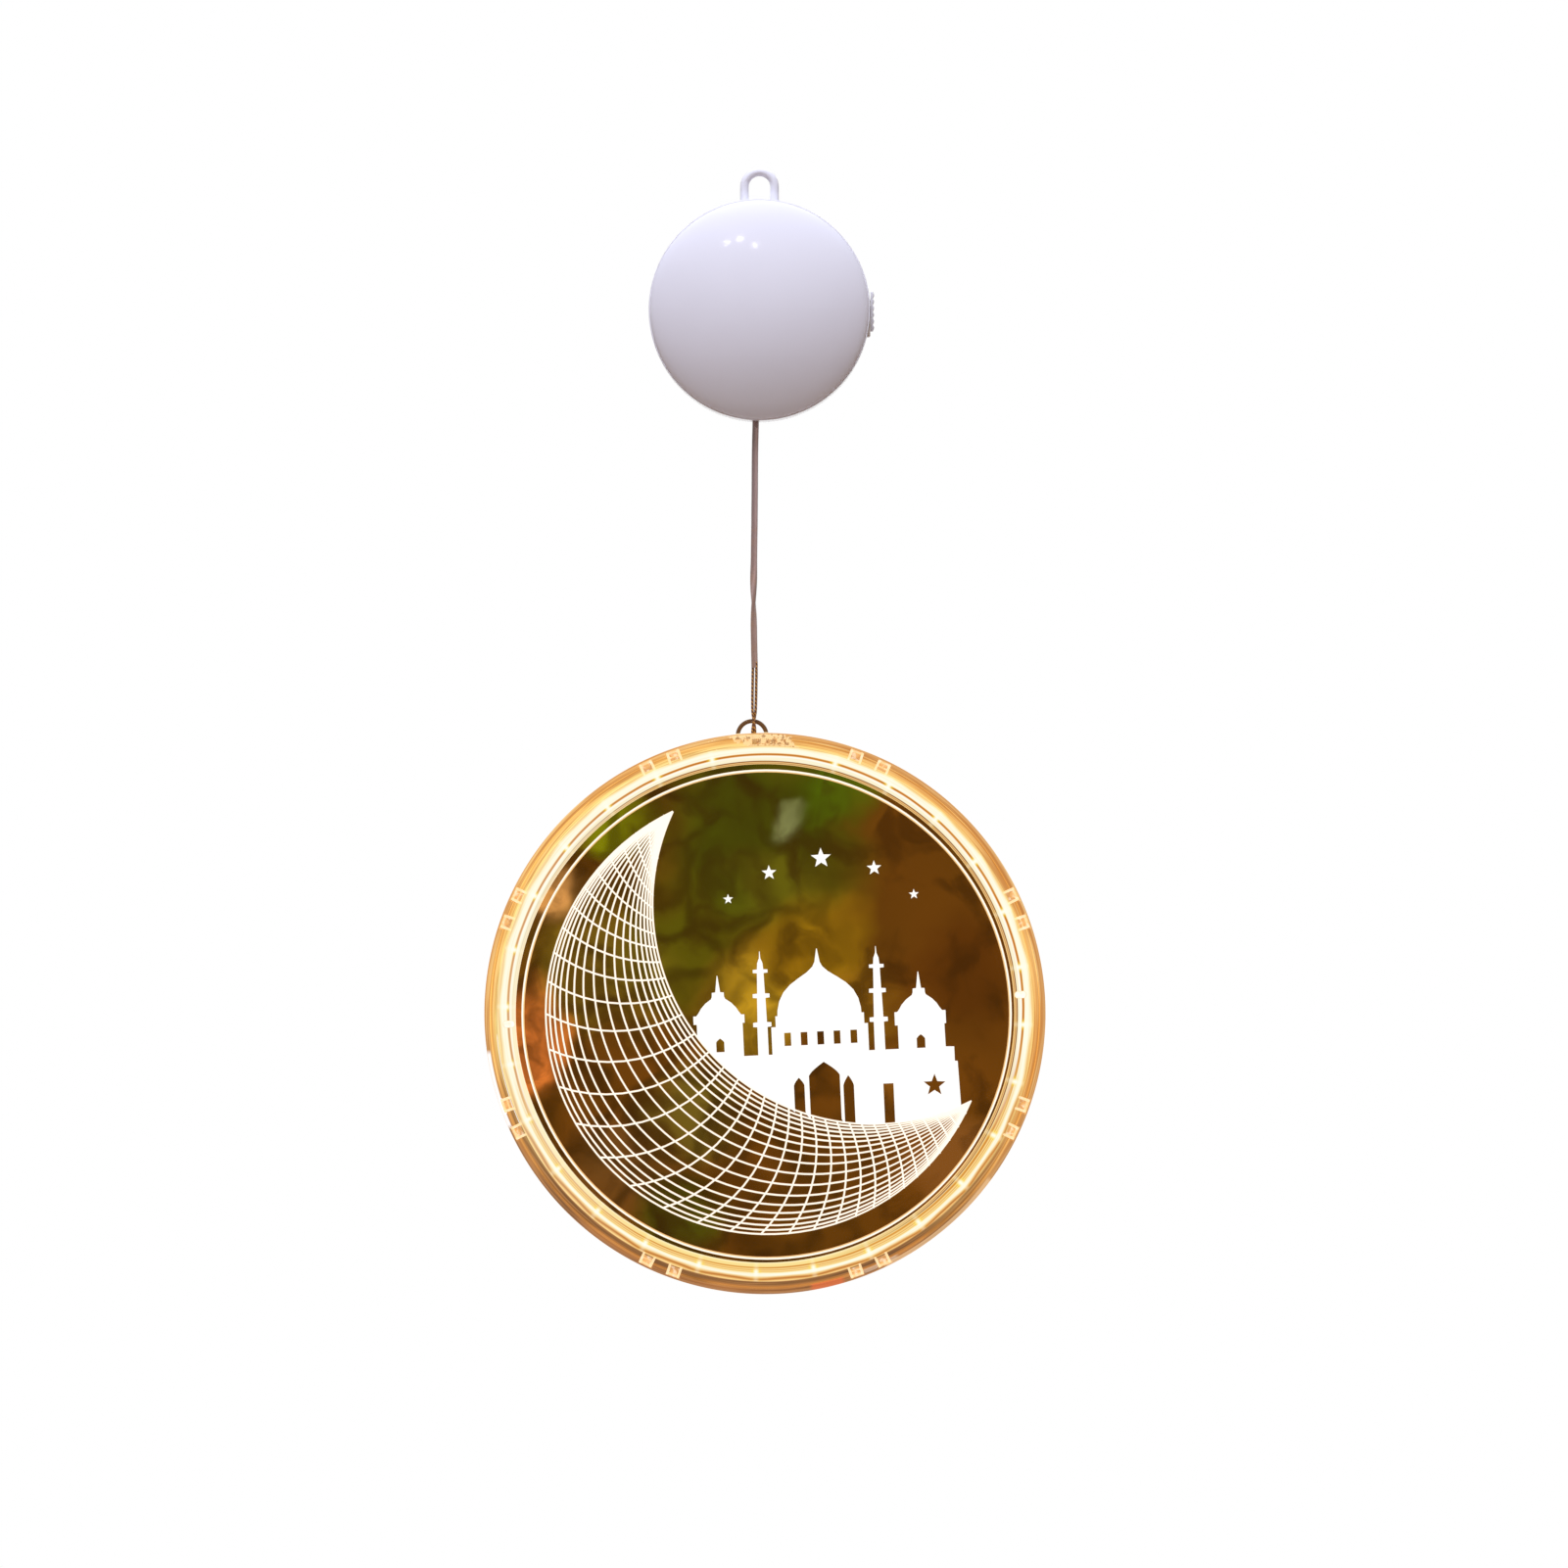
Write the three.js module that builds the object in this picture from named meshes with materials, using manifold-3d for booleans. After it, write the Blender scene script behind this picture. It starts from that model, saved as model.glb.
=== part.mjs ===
// Hanging moon light: a round battery pod that hangs by its loop, a short lead, and a round
// pendant whose clear disc is lit from its edge by a string of lamps inside a snapped ring.
// Millimetres, +Z up, the front faces -Y. The origin is the top of the inside of the pod's
// loop, where a hook carries the light. The pod, the ring and the disc are round about Y.

import * as THREE from 'three';
import { mergeVertices } from 'three/addons/utils/BufferGeometryUtils.js';
import Module from 'manifold-3d';

const wasm = await Module();
wasm.setup();

// Clearances
const seatGap = 0.3; // between pieces that rest on each other
const runGap = 0.3; // round what slides or turns

// Cells: three of the AAA size, upright and side by side
const cellRadius = 5.25;
const cellLength = 44.5; // with the button
const buttonRadius = 1.9;
const buttonHeight = 1;
const contactThickness = 0.4;
const springHeight = 2.9; // pressed
const springBase = 3.3; // radius of the widest turn
const springTip = 1.5;
const springWire = 0.5; // diameter
const springTurns = 2.5;

// Battery pod
const podWall = 1.5;
const trayWall = 1.2;
const backDepth = 9.5; // from the loop's plane to the flat back
const backEdge = 1.2; // rounding of the back's edge
const rimBand = 1; // straight band of the front cover behind its dome
const rimStep = 0.4; // how far the dome stands in from the band
const domeHeight = 7.6;
const loopInner = 3.05; // half the loop's inside width
const loopBar = 1.25; // bar radius
const loopRise = 6.8; // from the inside top of the loop down to the pod

// Battery door on the flat back
const doorThickness = 1.5;
const doorCorner = 3.7;
const doorLap = 0.6; // how far the door lies over the tray's walls
const thumbRadius = 6; // shallow notch that bares the door's upper end for a thumb
const thumbReach = 1.4; // how far the notch reaches over the door
const thumbDepth = 0.8;
const gripGrooves = 4;
const gripLength = 12;
const gripWidth = 1;
const gripDepth = 0.5;
const gripPitch = 2;
const gripInset = 5; // from the door's upper end to the first groove
const tabWidth = 3.6;
const tabThickness = 1;
const tabReach = 1.4; // how far a tab hooks under the back
const tabRoot = 0.8; // how far a tab's root lies under the door

// Case screws
const screwAngles = [35, 145, 215, 325];
const screwRadius = 1;
const screwHead = 2.1; // radius
const screwHeadHeight = 1.4;
const screwDepth = 1.2; // thread length inside the front cover's post
const bossWall = 1.3;

// Slide switch on the right side
const switchDrop = 2; // its frame's middle, below the pod's middle
const switchY = 2.6;
const frameHeight = 10.85;
const frameWidth = 4.8;
const frameProud = 0.1; // its outer face beyond the pod's edge
const knobHeight = 11.15;
const knobWidth = 4.4;
const knobPlate = 0.45;
const knobRib = 0.35;
const knobRibs = 6;
const knobLift = 1.8; // the knob's upper position above the frame's middle
const stemHeight = 3.2;
const stemWidth = 2.2;
const switchBodyDepth = 5.7;
const switchLip = 0.5; // how far the body behind reaches past the frame, front and back
const switchShort = 0.6; // how much shorter than the frame the body is, at each end
const slotFloor = 0.3; // of the knob's slot, before the body

// Circuit board beside the tray
const boardThickness = 1.2;
const boardWidth = 8.2;
const boardHeight = 22;
const chipSize = [4, 1.5, 5];
const chipPlace = [1.6, -0.8]; // its lower corner from the board's left edge and middle
const resistorRadius = 0.9;
const resistorLength = 6.5;
const resistorEnd = 1.6; // length of its thicker ends
const resistorEdge = 0.3; // from its side to the board's right edge
const resistorFoot = -9.5;

// Lead: a thin flex, then a bare wire pair that enters the pendant's top
const flexRadius = 1;
const outletX = -1.1;
const outletPlay = 0.4; // round the flex in its outlet and its stop
const stopRadius = 2.4;
const stopHeight = 1;
const innerWireRadius = 0.6;
// The flex's route as [sideways, down] from its outlet
const flexRoute = [
  [0, 1.3], [-0.1, 5], [-0.19, 10], [-0.23, 15], [-0.25, 20],
  [-0.3, 25], [-0.34, 30], [-0.42, 35], [-0.48, 40], [-0.56, 45],
  [-0.6, 50], [-0.55, 55], [-0.49, 60], [-0.4, 65], [-0.28, 70.4],
];
const pairBall = 0.8; // radius of the bead where the pair leaves the flex
const pairWire = 0.3; // radius of one wire
const pairSpreadTop = 1; // between the wires' middles
const pairSpreadEnd = 0.6;
const pairLength = 18.7;
const pairLean = -0.25; // sideways, from top to bottom

// Pendant: disc and ring
const ringRadius = 80;
const ringHalfDepth = 5.5;
const ringFlange = 1.5; // thickness of the ring's front and rear plates
const outerWall = 1.6;
const snapGap = 1.7; // groove between the two halves' walls
const channelWall = 1.3;
const channelWidth = 2.9; // room for the lamps round the disc
const discLap = 1.4; // how far the ring's plates lie over the disc
const discThickness = 3;
const ribWidth = 1.2; // rib that bears on the disc
const faceGroove = 0.3; // depth of the groove round the ring's face, over the disc's edge
const ringEdge = 0.5; // bevels
const ringFacets = 72;
const clipPairs = 8;
const clipTurn = 2.65; // the clips' turn against the ring's loop, in degrees
const clipSpread = 6.1; // between the two clips of a pair, in degrees
const clipWidth = 4;
const clipHeight = 3.4;
const clipSkin = 0.5; // wall left outside a clip
const clipInset = 0.9; // from the ring's face back to a clip
const clipLeg = 0.9; // width of the two legs along a clip's sides
const clipHollow = 1; // depth of its face between the legs
const ringLoopRadius = 4.08; // of its bar's middle
const ringLoopBar = 0.62;
const ringLoopY = 1.8;
const entryOffset = 0.5; // the wire's entry, beside the loop's middle
const entryRadius = 1.3;
const pendantTilt = 2.65; // the pendant hangs turned by this, in degrees

// Lamps in the ring
const lampCount = 27;
const lampPitch = 12.79; // degrees
const lampRadius = 1;
const lampStretch = 1.5; // length of a lamp's drop over its width
const stringRadius = 0.35;
const spliceRadius = 0.95;
const spliceAngles = [-6.5, 14.5]; // degrees clockwise from the ring's top
const firstLamp = 18.35;

// Derived sizes of the pod
const degrees = Math.PI / 180;
const cellPitch = 2 * cellRadius + seatGap;
const trayHalfWidth = cellPitch + cellRadius + seatGap;
const trayHalfLength = (cellLength + springHeight + 2 * contactThickness + 5 * seatGap) / 2;
const podRadius = Math.hypot(trayHalfWidth, trayHalfLength) + seatGap + podWall;
const podInner = podRadius - podWall;
const podZ = -loopRise - podRadius;
const doorInnerY = backDepth - doorThickness;
const trayTopY = doorInnerY - seatGap;
const cellY = trayTopY - cellRadius;
const trayFloorY = cellY - cellRadius - seatGap;
const rearRimY = trayFloorY - trayWall;
const coverBackY = rearRimY - seatGap;
const domeBaseY = coverBackY - rimBand;
const bossRadius = screwRadius + runGap + bossWall;
const screwCircle = podInner - bossRadius + bossWall / 2;
const headSeatY = backDepth - screwHeadHeight - seatGap;
const doorHalfWidth = trayHalfWidth + doorLap;
const doorHalfLength = trayHalfLength + doorLap;

// Derived sizes of the lead and the pendant
const podBottomZ = podZ - podRadius;
const swingZ = podBottomZ - seatGap - flexRadius;
const [flexEndShift, flexLength] = flexRoute[flexRoute.length - 1];
const flexEndX = outletX + flexEndShift;
const flexEndZ = podBottomZ - flexLength;
const pairTopZ = flexEndZ - seatGap - pairBall;
const pairEndX = flexEndX + pairLean;
const pairEndZ = flexEndZ - seatGap - pairLength;
const tilt = pendantTilt * degrees;
const entryAngle = entryOffset / ringRadius;
const ringX = pairEndX - ringRadius * Math.sin(entryAngle - tilt);
const ringZ = pairEndZ - ringRadius * Math.cos(entryAngle - tilt) + pairWire;
const outerWallInner = ringRadius - outerWall;
const channelOuter = outerWallInner - snapGap;
const channelInner = channelOuter - channelWall;
const discRadius = channelInner - channelWidth;
const flangeInner = discRadius - discLap;
const plateY = ringHalfDepth - ringFlange;
const ribY = discThickness / 2 + seatGap;
const lampCircle = (discRadius + channelInner) / 2;

// Materials, with their colours as seen by day
const finish = (color, roughness, metalness, opacity = 1) =>
  new THREE.MeshStandardMaterial({
    color,
    roughness,
    metalness,
    opacity,
    transparent: opacity < 1,
    flatShading: true,
  });
const whitePlastic = finish(0xeceaf2, 0.22, 0);
const switchPlastic = finish(0xdedce2, 0.45, 0);
const cellSleeve = finish(0x3a4350, 0.35, 0.6);
const nickel = finish(0xb9b7b0, 0.3, 1);
const steel = finish(0x8f9093, 0.35, 1);
const boardGreen = finish(0x1f6b3c, 0.5, 0);
const chipBlack = finish(0x17171a, 0.6, 0);
const resistorTan = finish(0xc9a97a, 0.6, 0);
const stopRubber = finish(0x55504c, 0.8, 0);
const redWire = finish(0xa8322a, 0.5, 0);
const blackWire = finish(0x222222, 0.5, 0);
const smokyFlex = finish(0x9c7f78, 0.3, 0);
const copper = finish(0xb98a4e, 0.35, 0.9);
const ringClear = finish(0xf0cf9a, 0.1, 0, 0.5);
const discAmber = finish(0x66400f, 0.08, 0, 0.75);
const lampWarm = finish(0xffe6b0, 0.3, 0);
const spliceSleeve = finish(0xd8d2c4, 0.6, 0);

// Solids from geometries

function solid(geometry) {
  const bare = geometry.clone();
  bare.deleteAttribute('normal');
  bare.deleteAttribute('uv');
  const merged = mergeVertices(bare, 1e-4);
  const index = merged.index.array;
  const triangles = [];
  for (let i = 0; i < index.length; i += 3) {
    const [a, b, c] = [index[i], index[i + 1], index[i + 2]];
    if (a !== b && b !== c && c !== a) triangles.push(a, b, c);
  }
  const mesh = new wasm.Mesh({
    numProp: 3,
    vertProperties: new Float32Array(merged.attributes.position.array),
    triVerts: new Uint32Array(triangles),
  });
  return new wasm.Manifold(mesh);
}

function join(first, ...others) {
  return others.reduce((whole, other) => whole.add(other), first);
}

function cut(whole, ...tools) {
  return tools.reduce((rest, tool) => rest.subtract(tool), whole);
}

function part(name, shape, material) {
  const mesh = shape.getMesh();
  const geometry = new THREE.BufferGeometry();
  geometry.setAttribute('position', new THREE.BufferAttribute(new Float32Array(mesh.vertProperties), 3));
  geometry.setIndex(new THREE.BufferAttribute(new Uint32Array(mesh.triVerts), 1));
  const piece = new THREE.Mesh(geometry, material);
  piece.name = name;
  return piece;
}

// A block between two corners
function block([x0, y0, z0], [x1, y1, z1]) {
  const geometry = new THREE.BoxGeometry(x1 - x0, y1 - y0, z1 - z0);
  return solid(geometry.translate((x0 + x1) / 2, (y0 + y1) / 2, (z0 + z1) / 2));
}

// A rod along Y or Z between two heights on that axis
function rodY(radius, x, z, y0, y1, sides = 16) {
  const geometry = new THREE.CylinderGeometry(radius, radius, y1 - y0, sides);
  return solid(geometry.translate(x, (y0 + y1) / 2, z));
}

function rodZ(radius, x, y, z0, z1, sides = 20) {
  const geometry = new THREE.CylinderGeometry(radius, radius, z1 - z0, sides);
  return solid(geometry.rotateX(Math.PI / 2).translate(x, y, (z0 + z1) / 2));
}

// A turned form about Y from [radius, y] pairs, listed anticlockwise with the radius to the right
function turned(profile, sides) {
  return solid(new THREE.LatheGeometry(profile.map(([r, y]) => new THREE.Vector2(r, y)), sides));
}

function ringOf(profile, sides) {
  return turned([...profile, profile[0]], sides);
}

// A round tube along a curve
function swept(curve, radius, steps, sides) {
  const section = new THREE.Shape();
  for (let i = 0; i <= sides; i++) {
    const a = (2 * Math.PI * i) / sides;
    section[i === 0 ? 'moveTo' : 'lineTo'](radius * Math.cos(a), radius * Math.sin(a));
  }
  return solid(new THREE.ExtrudeGeometry(section, { steps, extrudePath: curve, curveSegments: 1 }));
}

function through(points) {
  return new THREE.CatmullRomCurve3(points.map(([x, y, z]) => new THREE.Vector3(x, y, z)));
}

// A plate with round corners, flat across Y
function roundPlate(halfWidth, halfLength, corner, y0, y1) {
  const w = halfWidth - corner;
  const l = halfLength - corner;
  const outline = new THREE.Shape();
  outline.absarc(w, l, corner, 0, Math.PI / 2);
  outline.absarc(-w, l, corner, Math.PI / 2, Math.PI);
  outline.absarc(-w, -l, corner, Math.PI, 1.5 * Math.PI);
  outline.absarc(w, -l, corner, 1.5 * Math.PI, 2 * Math.PI);
  const geometry = new THREE.ExtrudeGeometry(outline, {
    depth: y1 - y0,
    bevelEnabled: false,
    curveSegments: 5,
  });
  return solid(geometry.rotateX(Math.PI / 2).translate(0, y1, 0));
}

// An upright hoop on two legs, open below: the upper half of a torus and two short rods
function hoop(radius, bar, x, y, z, legs, sides) {
  const torus = new THREE.TorusGeometry(radius, bar, 8, sides);
  const ring = solid(torus.rotateX(Math.PI / 2).translate(x, y, z));
  const reach = radius + 2 * bar;
  const below = block([x - reach, y - 2 * bar, z - reach], [x + reach, y + 2 * bar, z]);
  return join(
    ring.subtract(below),
    rodZ(bar, x - radius, y, z - legs, z + bar / 4, 8),
    rodZ(bar, x + radius, y, z - legs, z + bar / 4, 8),
  );
}

// Pod: in its own frame, with the middle of the pod at x = z = 0

// The dome's outline from the middle outwards
function dome(radius, height, steps) {
  const points = [];
  for (let i = 0; i <= steps; i++) {
    const a = (Math.PI / 2) * (i / steps);
    points.push([radius * Math.sin(a), domeBaseY - height * Math.cos(a)]);
  }
  return points;
}

function screwPlaces() {
  return screwAngles.map((angle) => [
    screwCircle * Math.cos(angle * degrees),
    screwCircle * Math.sin(angle * degrees),
  ]);
}

const podFacets = 48;
const screwTipY = coverBackY - screwDepth;

function frontCover() {
  const domeRadius = podRadius - rimStep;
  const outside = [...dome(domeRadius, domeHeight, 7), [podRadius, domeBaseY], [podRadius, coverBackY]];
  const inside = [[podInner, coverBackY], ...dome(podInner - rimStep, domeHeight - podWall, 3).reverse()];
  const envelope = turned([...outside, [0, coverBackY]], podFacets);
  let cover = turned([...outside, ...inside], podFacets);
  for (const [x, z] of screwPlaces()) {
    const post = rodY(bossRadius, x, z, domeBaseY - domeHeight, coverBackY).intersect(envelope);
    const pilot = rodY(screwRadius + runGap, x, z, screwTipY - seatGap, coverBackY + 1, 8);
    cover = cut(join(cover, post), pilot);
  }
  return cover;
}

function rearShell() {
  const roundSteps = 3;
  const round = [];
  for (let i = 0; i <= roundSteps; i++) {
    const a = (Math.PI / 2) * (i / roundSteps);
    round.push([
      podRadius - backEdge + backEdge * Math.cos(a),
      backDepth - backEdge + backEdge * Math.sin(a),
    ]);
  }
  const cup = turned([
    [0, backDepth - podWall],
    [podInner, backDepth - podWall],
    [podInner, rearRimY],
    [podRadius, rearRimY],
    ...round,
    [0, backDepth],
  ], podFacets);
  const outerX = trayHalfWidth + trayWall;
  const outerZ = trayHalfLength + trayWall;
  const limit = rodY(podRadius - podWall / 2, 0, 0, rearRimY, backDepth, podFacets);
  const tray = block([-outerX, rearRimY, -outerZ], [outerX, backDepth - podWall / 2, outerZ])
    .intersect(limit);
  let shell = join(cup, tray);
  for (const [x, z] of screwPlaces()) {
    shell = join(shell, rodY(bossRadius, x, z, rearRimY, backDepth - podWall / 2));
  }
  const loopZ = podRadius + loopRise - loopInner;
  shell = join(shell, hoop(loopInner + loopBar, loopBar, 0, 0, loopZ, loopRise - loopInner + podWall, 20));

  const cavity = block(
    [-trayHalfWidth, trayFloorY, -trayHalfLength],
    [trayHalfWidth, backDepth + 1, trayHalfLength],
  );
  const pocket = roundPlate(
    doorHalfWidth + seatGap, doorHalfLength + seatGap, doorCorner + seatGap, trayTopY, backDepth + 1,
  );
  shell = cut(shell, cavity, pocket);

  // Low ribs keep the cells apart
  for (const side of [-1, 1]) {
    const x = (side * cellPitch) / 2;
    const rib = block(
      [x - trayWall / 2, trayFloorY - trayWall / 2, -trayHalfLength / 2],
      [x + trayWall / 2, trayFloorY + cellRadius / 2, trayHalfLength / 2],
    );
    shell = join(shell, rib);
  }

  for (const [x, z] of screwPlaces()) {
    shell = cut(
      shell,
      rodY(screwRadius + runGap, x, z, rearRimY - 1, backDepth + 1, 12),
      rodY(screwHead + runGap, x, z, headSeatY - seatGap, backDepth + 1, 12),
    );
  }

  // Notches in the tray's lower wall for the door's tabs
  const tabSwing = Math.hypot(doorThickness + 2 * seatGap + tabThickness, tabReach + seatGap);
  for (const side of [-1, 1]) {
    const x = (side * cellPitch) / 2;
    const half = tabWidth / 2 + runGap;
    shell = cut(shell, block(
      [x - half, backDepth - tabSwing - runGap, -trayHalfLength - trayWall - 1],
      [x + half, trayTopY + seatGap / 2, -trayHalfLength + 1],
    ));
  }

  // Slots for the end contacts' solder tabs, in the tray's floor
  for (const side of [-1, 1]) {
    const x = side * cellPitch;
    const z = side * (trayHalfLength - seatGap - contactThickness / 2);
    shell = cut(shell, block(
      [x - contactTab / 2 - runGap, rearRimY - 1, z - contactThickness / 2 - runGap],
      [x + contactTab / 2 + runGap, trayFloorY + 1, z + contactThickness / 2 + runGap],
    ));
  }

  const frameZ = -switchDrop;
  const halfY = frameWidth / 2 + runGap;
  const halfZ = frameHeight / 2 + runGap;
  const window = block(
    [podInner - 3, switchY - halfY, frameZ - halfZ],
    [podRadius + 1, switchY + halfY, frameZ + halfZ],
  );
  const outlet = rodZ(flexRadius + outletPlay, outletX, 0, -podRadius - 1, -podInner + 1, 16);
  const thumbZ = doorHalfLength + thumbRadius - thumbReach;
  const thumb = rodY(thumbRadius, 0, thumbZ, backDepth - thumbDepth, backDepth + 1, 24);
  return cut(shell, window, outlet, thumb);
}

// The door swings about the outer edge of its lower end
function batteryDoor() {
  let door = roundPlate(doorHalfWidth, doorHalfLength, doorCorner, doorInnerY, backDepth);
  for (const side of [-1, 1]) {
    const x = (side * cellPitch) / 2;
    const hookY = doorInnerY - seatGap - tabThickness;
    const hook = block(
      [x - tabWidth / 2, hookY, -doorHalfLength - tabReach],
      [x + tabWidth / 2, hookY + tabThickness, -doorHalfLength + tabRoot],
    );
    const neck = block(
      [x - tabWidth / 2, hookY, -doorHalfLength],
      [x + tabWidth / 2, doorInnerY + doorThickness / 3, -doorHalfLength + tabRoot],
    );
    door = join(door, hook, neck);
  }
  for (let i = 0; i < gripGrooves; i++) {
    const z = doorHalfLength - gripInset - gripPitch * i;
    door = cut(door, block(
      [-gripLength / 2, backDepth - gripDepth, z - gripWidth / 2],
      [gripLength / 2, backDepth + 1, z + gripWidth / 2],
    ));
  }
  return door;
}

// A cell stands on its flat end at z = 0
function cell() {
  const shoulder = cellLength - buttonHeight;
  const profile = [
    [0, 0], [cellRadius - 0.5, 0], [cellRadius, 0.5], [cellRadius, shoulder - 0.5],
    [cellRadius - 0.5, shoulder], [buttonRadius, shoulder], [buttonRadius, cellLength], [0, cellLength],
  ];
  const geometry = new THREE.LatheGeometry(profile.map(([r, y]) => new THREE.Vector2(r, y)), 16);
  return solid(geometry.rotateX(Math.PI / 2));
}

// A conical spring with its widest turn at z = 0
class SpringCurve extends THREE.Curve {
  getPoint(t) {
    const turn = 2 * Math.PI * springTurns * t;
    const radius = springBase + (springTip - springBase) * t;
    const z = springWire / 2 + (springHeight - springWire) * t;
    return new THREE.Vector3(radius * Math.cos(turn), radius * Math.sin(turn), z);
  }
}

function contactSpring() {
  return swept(new SpringCurve(), springWire / 2, 20, 4);
}

const contactTab = 2;
const contactWidth = 8;
const contactHeight = 7;

// A contact plate across the cells from x0 to x1, with a solder tab at tabX if it has one
function contactPlate(x0, x1, tabX = null) {
  const halfT = contactThickness / 2;
  const low = cellY - contactHeight / 2;
  let plate = block(
    [x0 - contactWidth / 2, low, -halfT],
    [x1 + contactWidth / 2, low + contactHeight, halfT],
  );
  for (const x of [x0 - contactWidth / 2, x1 + contactWidth / 2]) {
    const corner = new THREE.BoxGeometry(2, 2, 1).rotateZ(Math.PI / 4).translate(x, low + contactHeight, 0);
    plate = plate.subtract(solid(corner));
  }
  if (tabX === null) return plate;
  const tab = block(
    [tabX - contactTab / 2, rearRimY - 2 * innerWireRadius - seatGap, -halfT],
    [tabX + contactTab / 2, low + 1, halfT],
  );
  return plate.add(tab);
}

const frameX = podRadius + frameProud;
const switchInnerX = Math.sqrt(podInner ** 2 - (switchDrop + frameHeight / 2) ** 2) - runGap;

function switchBody() {
  const halfY = frameWidth / 2;
  const halfZ = frameHeight / 2;
  const body = block(
    [switchInnerX - switchBodyDepth, switchY - halfY - switchLip, -switchDrop - halfZ + switchShort],
    [switchInnerX, switchY + halfY + switchLip, -switchDrop + halfZ - switchShort],
  );
  const frame = block(
    [switchInnerX - switchLip, switchY - halfY, -switchDrop - halfZ],
    [frameX, switchY + halfY, -switchDrop + halfZ],
  );
  const slotZ = knobLift + stemHeight / 2 + runGap;
  const slotY = stemWidth / 2 + runGap;
  const slot = block(
    [switchInnerX + slotFloor, switchY - slotY, -switchDrop - slotZ],
    [frameX + 1, switchY + slotY, -switchDrop + slotZ],
  );
  return cut(join(body, frame), slot);
}

// The knob's ribs run across its face
function switchKnob() {
  const z0 = knobLift - switchDrop - knobHeight / 2;
  const x0 = frameX + runGap;
  const pitch = knobHeight / knobRibs;
  const side = new THREE.Shape();
  side.moveTo(x0, z0);
  for (let i = 0; i < knobRibs; i++) {
    const z = z0 + i * pitch;
    side.lineTo(x0 + knobPlate, z + 0.1 * pitch);
    side.lineTo(x0 + knobPlate + knobRib, z + 0.3 * pitch);
    side.lineTo(x0 + knobPlate + knobRib, z + 0.7 * pitch);
    side.lineTo(x0 + knobPlate, z + 0.9 * pitch);
  }
  side.lineTo(x0, z0 + knobHeight);
  side.closePath();
  const cap = new THREE.ExtrudeGeometry(side, { depth: knobWidth, bevelEnabled: false });
  cap.rotateX(Math.PI / 2).translate(0, switchY + knobWidth / 2, 0);
  const middle = knobLift - switchDrop;
  const stem = block(
    [switchInnerX + slotFloor + runGap, switchY - stemWidth / 2, middle - stemHeight / 2],
    [x0 + knobPlate / 2, switchY + stemWidth / 2, middle + stemHeight / 2],
  );
  return join(solid(cap), stem);
}

const boardX = trayHalfWidth + trayWall + seatGap;
const boardBackY = switchY - frameWidth / 2 - switchLip - seatGap;
const boardFrontY = boardBackY - boardThickness;

function circuitBoard() {
  return block(
    [boardX, boardFrontY, -boardHeight / 2],
    [boardX + boardWidth, boardBackY, boardHeight / 2],
  );
}

function timerChip() {
  const [width, height, length] = chipSize;
  const x = boardX + chipPlace[0];
  const y = boardFrontY - seatGap;
  const z = chipPlace[1];
  return block([x, y - height, z], [x + width, y, z + length]);
}

function resistor() {
  const r = resistorRadius;
  const geometry = new THREE.LatheGeometry([
    new THREE.Vector2(0, 0), new THREE.Vector2(r, 0.2 * resistorEnd),
    new THREE.Vector2(0.8 * r, resistorEnd), new THREE.Vector2(0.8 * r, resistorLength - resistorEnd),
    new THREE.Vector2(r, resistorLength - 0.2 * resistorEnd), new THREE.Vector2(0, resistorLength),
  ], 10);
  const x = boardX + boardWidth - resistorEdge - r;
  return solid(geometry.rotateX(Math.PI / 2).translate(x, boardFrontY - seatGap - r, resistorFoot));
}

// The flex inside the pod, from its outlet round the tray's lower wall and over the tray to the board
function flexTail() {
  const r = flexRadius;
  const y = rearRimY - seatGap - r;
  const endY = boardFrontY - seatGap;
  const lowZ = -trayHalfLength - trayWall - seatGap - r;
  const endX = boardX + 0.4 * boardWidth;
  const endZ = 1.5 * r - boardHeight / 2;
  return swept(through([
    [outletX, 0, -podRadius + 0.1 * r], [outletX, 0, lowZ - 1.6 * r], [outletX, -0.8 * r, lowZ - 0.3 * r],
    [outletX, y + 1.7 * r, lowZ - 0.1 * r], [outletX, y + 0.1 * r, lowZ + r], [outletX + r, y, lowZ + 4 * r],
    [0.65 * cellPitch, y, 0.62 * lowZ], [1.3 * cellPitch, y, 0.475 * lowZ],
    [endX - 2.5 * r, y, endZ - 0.9 * r],
    [endX - 0.5 * r, y + 0.9 * r, endZ - 0.1 * r], [endX, endY - 1.2 * r, endZ], [endX, endY, endZ],
  ]), r, 24, 6);
}

function cordStop() {
  const z = -podInner + seatGap;
  const bore = flexRadius + outletPlay;
  const geometry = new THREE.LatheGeometry([
    [bore, 0], [stopRadius, 0], [stopRadius, stopHeight - 0.4],
    [stopRadius - 0.4, stopHeight], [bore, stopHeight], [bore, 0],
  ].map(([r, h]) => new THREE.Vector2(r, h)), 10);
  return solid(geometry.rotateX(Math.PI / 2).translate(outletX, 0, z));
}

// A wire from an end contact over the tray to the board. Its route's turns are in cell pitches sideways
// and in the tray's half lengths up, as is the height of its solder point.
function innerWire(side, turns, solder) {
  const r = innerWireRadius;
  const y = rearRimY - seatGap - r;
  const endY = boardFrontY - seatGap;
  const startZ = trayHalfLength - 2 * seatGap - contactThickness;
  const endX = boardX + 0.36 * boardWidth;
  const endZ = solder * trayHalfLength;
  return swept(through([
    [side * cellPitch, y, side * startZ],
    ...turns.map(([x, z]) => [x * cellPitch, y, z * trayHalfLength]),
    [endX - 5.5 * r, y, endZ + side * r / 2],
    [endX - 1.3 * r, y + r, endZ],
    [endX, y + 3 * r, endZ],
    [endX, endY, endZ],
  ]), r, 14, 5);
}

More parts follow.
